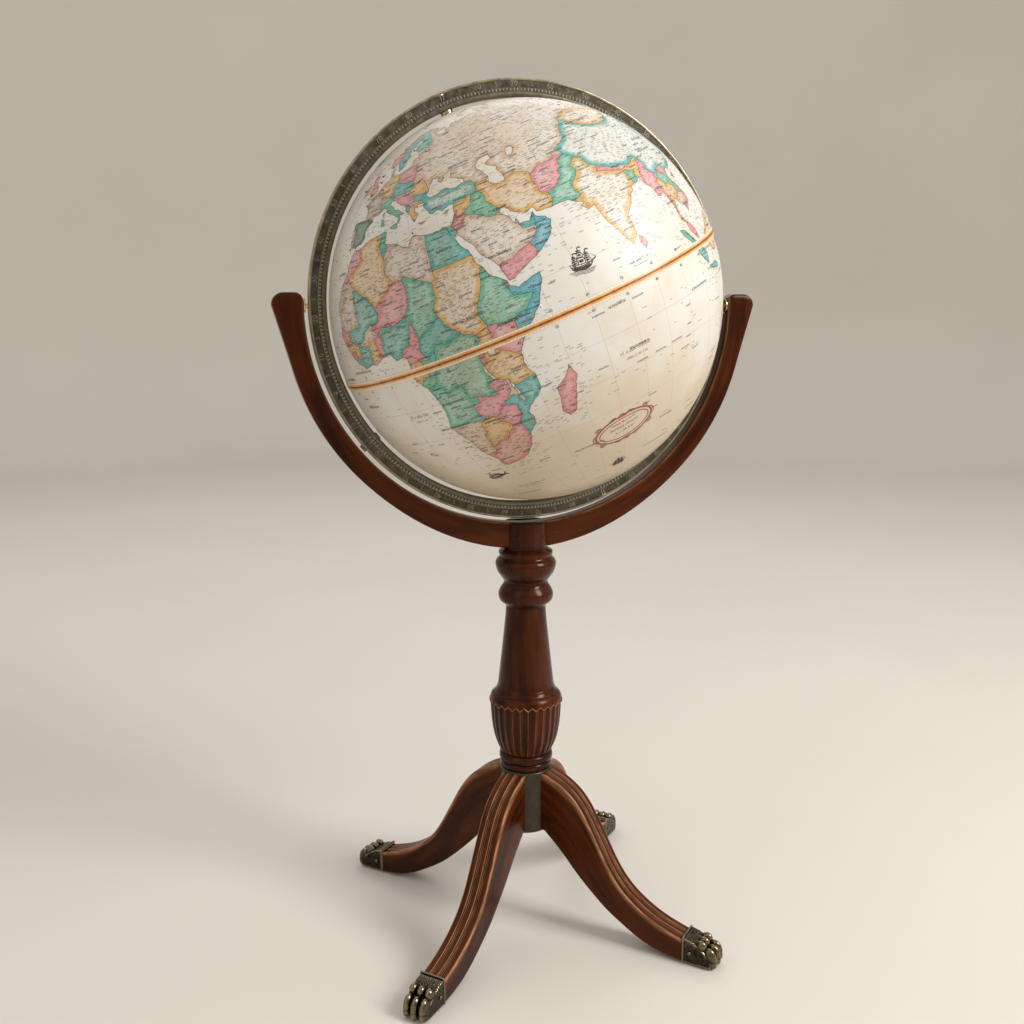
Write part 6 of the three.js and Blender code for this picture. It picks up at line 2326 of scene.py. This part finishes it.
# ------------------------------------------------------------------ meridian
@dataclass
class Meridian:
    """The full-circle meridian: divided bronze ring with a bright rim, its joint and the pole screws."""

    field: float = 4.4
    splice: float = 106.5
    slit: float = 0.6
    slit_radius: float = 216.0
    face: Sequence[Pair] = ((207.0, 0.0), (207.0, 4.8), (207.2, 5.3), (207.7, 5.5), (210.8, 5.5), (211.15, 5.35),
                            (211.3, 4.9), (211.35, 4.4), (211.5, 4.8), (211.62, 4.85), (211.75, 4.8), (211.85, 4.4),
                            (215.1, 4.4), (215.2, 4.78), (215.32, 4.84), (215.45, 4.78), (215.55, 4.4), (222.3, 4.4))
    rim: Sequence[Pair] = ((222.3, 0.0), (222.3, 4.4), (222.4, 4.95), (222.75, 5.3), (223.3, 5.48), (223.7, 5.5),
                           (224.2, 5.38), (224.65, 5.05), (224.9, 4.6), (225.0, 4.0), (225.0, 0.0))
    figure_size: float = 7.6
    five_size: float = 6.2
    figure_row: float = 219.0
    relief: float = 0.42

    def swept(self, name: str, half: Sequence[Pair], finish: Metal, nodes: Sequence[str]) -> None:
        """Spins one mirrored section round the ball, slit at the joint.

        Args:
            name: the piece's name.
            half: the section's front half, radius and height.
            finish: its finish.
            nodes: the CAD nodes it stands for.
        """
        section = [*half, *((r, -h) for r, h in reversed(half) if h)]
        bm = bmesh.new()
        verts = [bm.verts.new((r * MM, 0, h * MM)) for r, h in section]
        edges = [bm.edges.new(pair) for pair in zip(verts, verts[1:] + verts[:1])]
        gap = self.slit / self.slit_radius
        bmesh.ops.spin(bm, geom=verts + edges, cent=(0, 0, 0), axis=(0, 0, 1), angle=TURN - gap, steps=540)
        bmesh.ops.rotate(bm, matrix=Matrix.Rotation(gap / 2 + math.radians(self.splice), 3, "Z"), verts=bm.verts)
        bmesh.ops.remove_doubles(bm, verts=bm.verts, dist=1e-7)
        bmesh.ops.holes_fill(bm, edges=[e for e in bm.edges if e.is_boundary], sides=0)
        bmesh.ops.triangulate(bm, faces=[f for f in bm.faces if len(f.verts) > 4])
        bmesh.ops.recalc_face_normals(bm, faces=bm.faces)
        Piece(name, Body.MERIDIAN, Slot.AGED_BRONZE, finish, nodes, self.frame(), sharp=30, crest=0.0009).settle(bm)

    def frame(self) -> Matrix:
        """Returns the ring's frame: X to the north pole, Z out of the front face."""
        north, front = Vector(POLE), Vector((0, -1, 0))
        turn = Matrix((north, front.cross(north), front)).transposed().to_4x4()
        return Matrix.Translation(BALL_CENTRE) @ turn

    def spot(self, angle: float, radius: float, back: bool, high: float) -> Matrix:
        """Returns the place of a mark on a face.

        Args:
            angle: turn in degrees from the north pole.
            radius: distance from the centre in mm.
            back: whether it is on the back face.
            high: height above the middle plane in mm.

        Returns:
            A frame whose X runs clockwise and whose Y points outwards.
        """
        turn = Matrix.Rotation(math.radians(angle), 4, "Z")
        mark = Matrix.Translation((0, radius * MM, high * MM))
        flip = Matrix.Rotation(math.pi, 4, "X") if back else Matrix.Identity(4)
        return self.frame() @ flip @ turn @ Matrix.Rotation(-TURN / 4, 4, "Z") @ mark

    def merged(self, name: str, parts: Iterable[tuple[bpy.types.Mesh, Matrix]], finish: Metal) -> None:
        """Joins placed marks into one piece.

        Args:
            name: the piece's name.
            parts: the marks and their places.
            finish: their finish.
        """
        bm = bmesh.new()
        for mesh, place in parts:
            mesh.transform(place)
            bm.from_mesh(mesh)
            bpy.data.meshes.remove(mesh)
        Piece(name, Body.MERIDIAN, Slot.AGED_BRONZE, finish, (), sharp=40, crest=0.0004).settle(bm)

    def marks(self) -> None:
        """Raises the figures and the degree lines on both faces."""
        raised: list[tuple[bpy.types.Mesh, Matrix]] = []
        lines: list[tuple[bpy.types.Mesh, Matrix]] = []

        def bar(long: float, wide: float) -> bpy.types.Mesh:
            """Returns one raised line of a length and a width in mm."""
            mesh = bpy.data.meshes.new("bar")
            bm = block((wide * MM, long * MM, self.relief * MM), (0, 0, 0))
            bm.to_mesh(mesh)
            bm.free()
            return mesh

        for back in (False, True):
            for angle in range(0, 360, 5):
                if angle % 180 == 0:
                    for shift in (-0.35, 0.35):
                        place = self.spot(angle + shift, self.figure_row, back, self.field + self.relief / 2)
                        raised.append((bar(5.4, 0.9), place))
                    continue
                value = abs(90 - min(angle, 360 - angle))
                ten = value % 10 == 0
                size = self.figure_size if ten else self.five_size
                mesh = figure(str(value) if ten else "5", size * MM, self.relief * MM)
                raised.append((mesh, self.spot(angle, self.figure_row, back, self.field)))
            for step in range(720):
                long = 3.0 if step % 10 == 0 else 2.6 if step % 2 == 0 else 1.3
                mesh = bar(long, 1.5 if step % 2 == 0 else 0.4)
                place = self.spot(step / 2, 215.1 - long / 2, back, self.field + self.relief / 2 - 0.1)
                lines.append((mesh, place))
        self.merged("ring_figures", raised, RAISED_BRONZE)
        self.merged("ring_divisions", lines, RAISED_BRONZE)

    def pole_work(self) -> None:
        """Turns the pole screws and their washers."""
        for side, label in ((1, "north"), (-1, "south")):
            place = FROM_POLE @ Matrix.Rotation(0 if side > 0 else math.pi, 4, "X")
            screw = [(2.6, 197.5), (3.0, 198.0), (3.0, 221.0), (4.7, 221.2), (5.0, 221.6), (4.9, 223.2), (4.2, 224.3),
                     (2.6, 224.9), (0.05, 225.0)]
            bm = slotted(spun(scaled(screw), 40), 225.0, 1.2, 1.1)
            fitting(f"pole_screw_{label}", Body.MERIDIAN, place, bm)
            washer = [(6.1, 203.5), (6.5, 203.9), (6.5, 206.3), (6.1, 206.7)]
            fitting(f"pole_washer_{label}", Body.MERIDIAN, place, spun(scaled(washer), 40, 3.3 * MM))
            for back in (False, True):
                dome = [(2.2, 4.2), (2.2, 4.7), (1.7, 5.1), (0.9, 5.3), (0.05, 5.36)]
                flip = Matrix.Rotation(math.pi, 4, "X") if back else Matrix.Identity(4)
                at = self.frame() @ Matrix.Translation((side * 209.2 * MM, 0, 0)) @ flip
                Piece(f"pole_stud_{label}_{'back' if back else 'front'}", Body.MERIDIAN, Slot.BRASS, BRIGHT_BRASS, (),
                      at).settle(spun(scaled([(r, h + 0.14) for r, h in dome]), 24))

    def joint(self) -> None:
        """Makes the plate and two screws over the ring's joint, on the back face."""
        bm = block((8 * MM, 22.1 * MM, 3.2 * MM), (0, 0, 0), 0.5 * MM, 3)
        place = self.spot(-self.splice, 216.15, True, 7.45)
        plate = Piece("splice_plate_filed", Body.MERIDIAN, Slot.AGED_BRONZE, RING_BRONZE, ["splice_plate"], place)
        plate.settle(bm)
        for i, shift in enumerate((-2.6, 2.6)):
            low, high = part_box(f"splice_screw_{i + 1}")
            middle = (Vector(low) + Vector(high)) / 2
            head = [(1.5, -1.0), (1.5, 0.0), (2.3, 0.05), (2.4, 0.3), (2.1, 1.0), (1.3, 1.45), (0.05, 1.5)]
            lift = high[1] - 1.5 * MM
            at = Matrix.Translation((middle.x, lift, middle.z)) @ Matrix.Rotation(-TURN / 4, 4, "X")
            screw = slotted(spun(scaled(head), 28), 1.5, 0.6, 0.55)
            fitting(f"splice_screw_{i + 1}", Body.MERIDIAN, at, screw)

    def build(self) -> None:
        """Makes the ring and everything fixed to it."""
        self.swept("ring_field", self.face, RING_BRONZE, ["meridian_ring"])
        self.swept("ring_rim", self.rim, BEAD_BRASS, ())
        self.marks()
        self.pole_work()
        self.joint()


def slotted(bm: bmesh.types.BMesh, top: float, wide: float, deep: float) -> bmesh.types.BMesh:
    """Cuts a driver slot across a head.

    Args:
        bm: the turned screw, upright.
        top: height of the head's top in mm.
        wide: width of the slot.
        deep: its depth.

    Returns:
        The same mesh.
    """
    half = wide / 2 * MM
    for y in (-half, -half + 0.03 * MM, half - 0.03 * MM, half):
        geom = [g for kind in (bm.verts, bm.edges, bm.faces) for g in kind]
        bmesh.ops.bisect_plane(bm, geom=geom, plane_co=(0, y, 0), plane_no=(0, 1, 0), dist=1e-7)
    floor = (top - deep) * MM
    for vert in bm.verts:
        if abs(vert.co.y) < half - 0.02 * MM and vert.co.z > floor:
            vert.co.z = floor
    return bm


# ------------------------------------------------------------------ studio
@dataclass
class Studio:
    """Pale floor, surrounding wall and soft lights."""

    floor_radius: float = 5.0
    wall_height: float = 3.6
    bend: float = 0.9
    key: float = 58.0
    fill: float = 4.0
    ambient: float = 0.75
    behind: float = 12.0

    def room(self) -> None:
        """Makes the floor and the wall as one swept surface."""
        outline_points = [(0.0, 0.0), (self.floor_radius - self.bend, 0.0)]
        for k in range(1, 12):
            a = k / 12 * TURN / 4
            outline_points.append((self.floor_radius - self.bend + self.bend * math.sin(a),
                                   self.bend - self.bend * math.cos(a)))
        outline_points += [(self.floor_radius, self.bend), (self.floor_radius, self.wall_height)]
        bm = bmesh.new()
        verts = [bm.verts.new((r, 0, z)) for r, z in outline_points]
        edges = [bm.edges.new(pair) for pair in zip(verts, verts[1:])]
        bmesh.ops.spin(bm, geom=verts + edges, cent=(0, 0, 0), axis=(0, 0, 1), angle=TURN, steps=96, use_merge=True)
        bmesh.ops.remove_doubles(bm, verts=bm.verts, dist=1e-6)
        bmesh.ops.recalc_face_normals(bm, faces=bm.faces)
        if sum(f.normal.z for f in bm.faces) < 0:
            bmesh.ops.reverse_faces(bm, faces=bm.faces)
        mesh = bpy.data.meshes.new("studio_floor")
        bm.to_mesh(mesh)
        bm.free()
        mesh.shade_smooth()
        mesh.materials.append(Plaster("studio_plaster").material())
        floor = bpy.data.objects.new("studio_floor", mesh)
        bpy.context.scene.collection.objects.link(floor)

    def light(self, name: str, at: Sequence[float], size: Pair, power: float, colour: Sequence[float]) -> None:
        """Hangs one soft box aimed at the middle of the object.

        Args:
            name: the light's name.
            at: its place in metres.
            size: width and height.
            power: watts.
            colour: its colour.
        """
        data = bpy.data.lights.new(name, "AREA")
        data.shape, data.size, data.size_y = "RECTANGLE", *size
        data.energy, data.color = power, colour
        lamp = bpy.data.objects.new(name, data)
        bpy.context.scene.collection.objects.link(lamp)
        aim = Vector((0, 0, 0.5)) - Vector(at)
        lamp.rotation_euler = aim.to_track_quat("-Z", "Y").to_euler()
        lamp.location = at

    def build(self) -> None:
        """Sets the room, the lights and the world."""
        self.room()
        self.light("key", (1.7, -1.5, 1.9), (0.9, 1.3), self.key, (1.0, 0.978, 0.94))
        self.light("fill", (-2.3, -1.3, 1.2), (1.2, 1.8), self.fill, (1.0, 0.96, 0.92))
        self.light("back", (0.4, 2.4, 2.4), (2.0, 1.2), self.behind, (1.0, 0.97, 0.94))
        world = bpy.data.worlds.new("studio_world")
        world.use_nodes = True
        shade = world.node_tree.nodes["Background"]
        shade.inputs["Color"].default_value = (1.0, 0.972, 0.938, 1)
        shade.inputs["Strength"].default_value = self.ambient
        bpy.context.scene.world = world
        bpy.context.scene.view_settings.view_transform = "Standard"


@dataclass
class Viewpoint:
    """The camera: where it stands and how far it looks down."""

    place: Sequence[float] = (-0.3214, -1.0796, 0.669)
    heading: float = 15.825
    pitch: float = -10.10
    roll: float = -0.18
    lens: float = 37.1

    def build(self) -> None:
        """Adds the camera and makes it the scene's own."""
        data = bpy.data.cameras.new("viewpoint")
        data.lens, data.sensor_width, data.clip_start, data.clip_end = self.lens, 36.0, 0.01, 100.0
        camera = bpy.data.objects.new("viewpoint", data)
        turns = ((-self.heading, "Z"), (90 + self.pitch, "X"), (self.roll, "Z"))
        heading, pitch, roll = (Matrix.Rotation(math.radians(angle), 4, axis) for angle, axis in turns)
        camera.matrix_world = Matrix.Translation(self.place) @ heading @ pitch @ roll
        bpy.context.scene.collection.objects.link(camera)
        bpy.context.scene.camera = camera


HIDDEN: dict[Finish, Sequence[str]] = {
    DARK_STEEL: ("leg_bolt_", "tie_"),
    MAHOGANY: ("yoke_dowel_",),
    BOARD: ("equator_hoop",),
}


def dress_hidden() -> None:
    """Gives the parts buried in others their materials."""
    for thing in bpy.data.objects:
        for finish, starts in HIDDEN.items():
            if thing.type == "MESH" and thing.name.startswith(tuple(starts)):
                if isinstance(finish, Wood):
                    write(thing.data, "grain", "FLOAT_VECTOR", "POINT", upright(points_of(thing.data)))
                thing.data.materials.clear()
                thing.data.materials.append(finish.material())


def main() -> None:
    """Builds the stand, the meridian, the ball and the studio, in that order."""
    logging.basicConfig(level=logging.INFO, format="%(name)s %(message)s")
    Column().build()
    Legs().build()
    Yoke().build()
    Meridian().build()
    Ball().build()
    dress_hidden()
    Studio().build()
    Viewpoint().build()


if __name__ == "__main__":
    main()
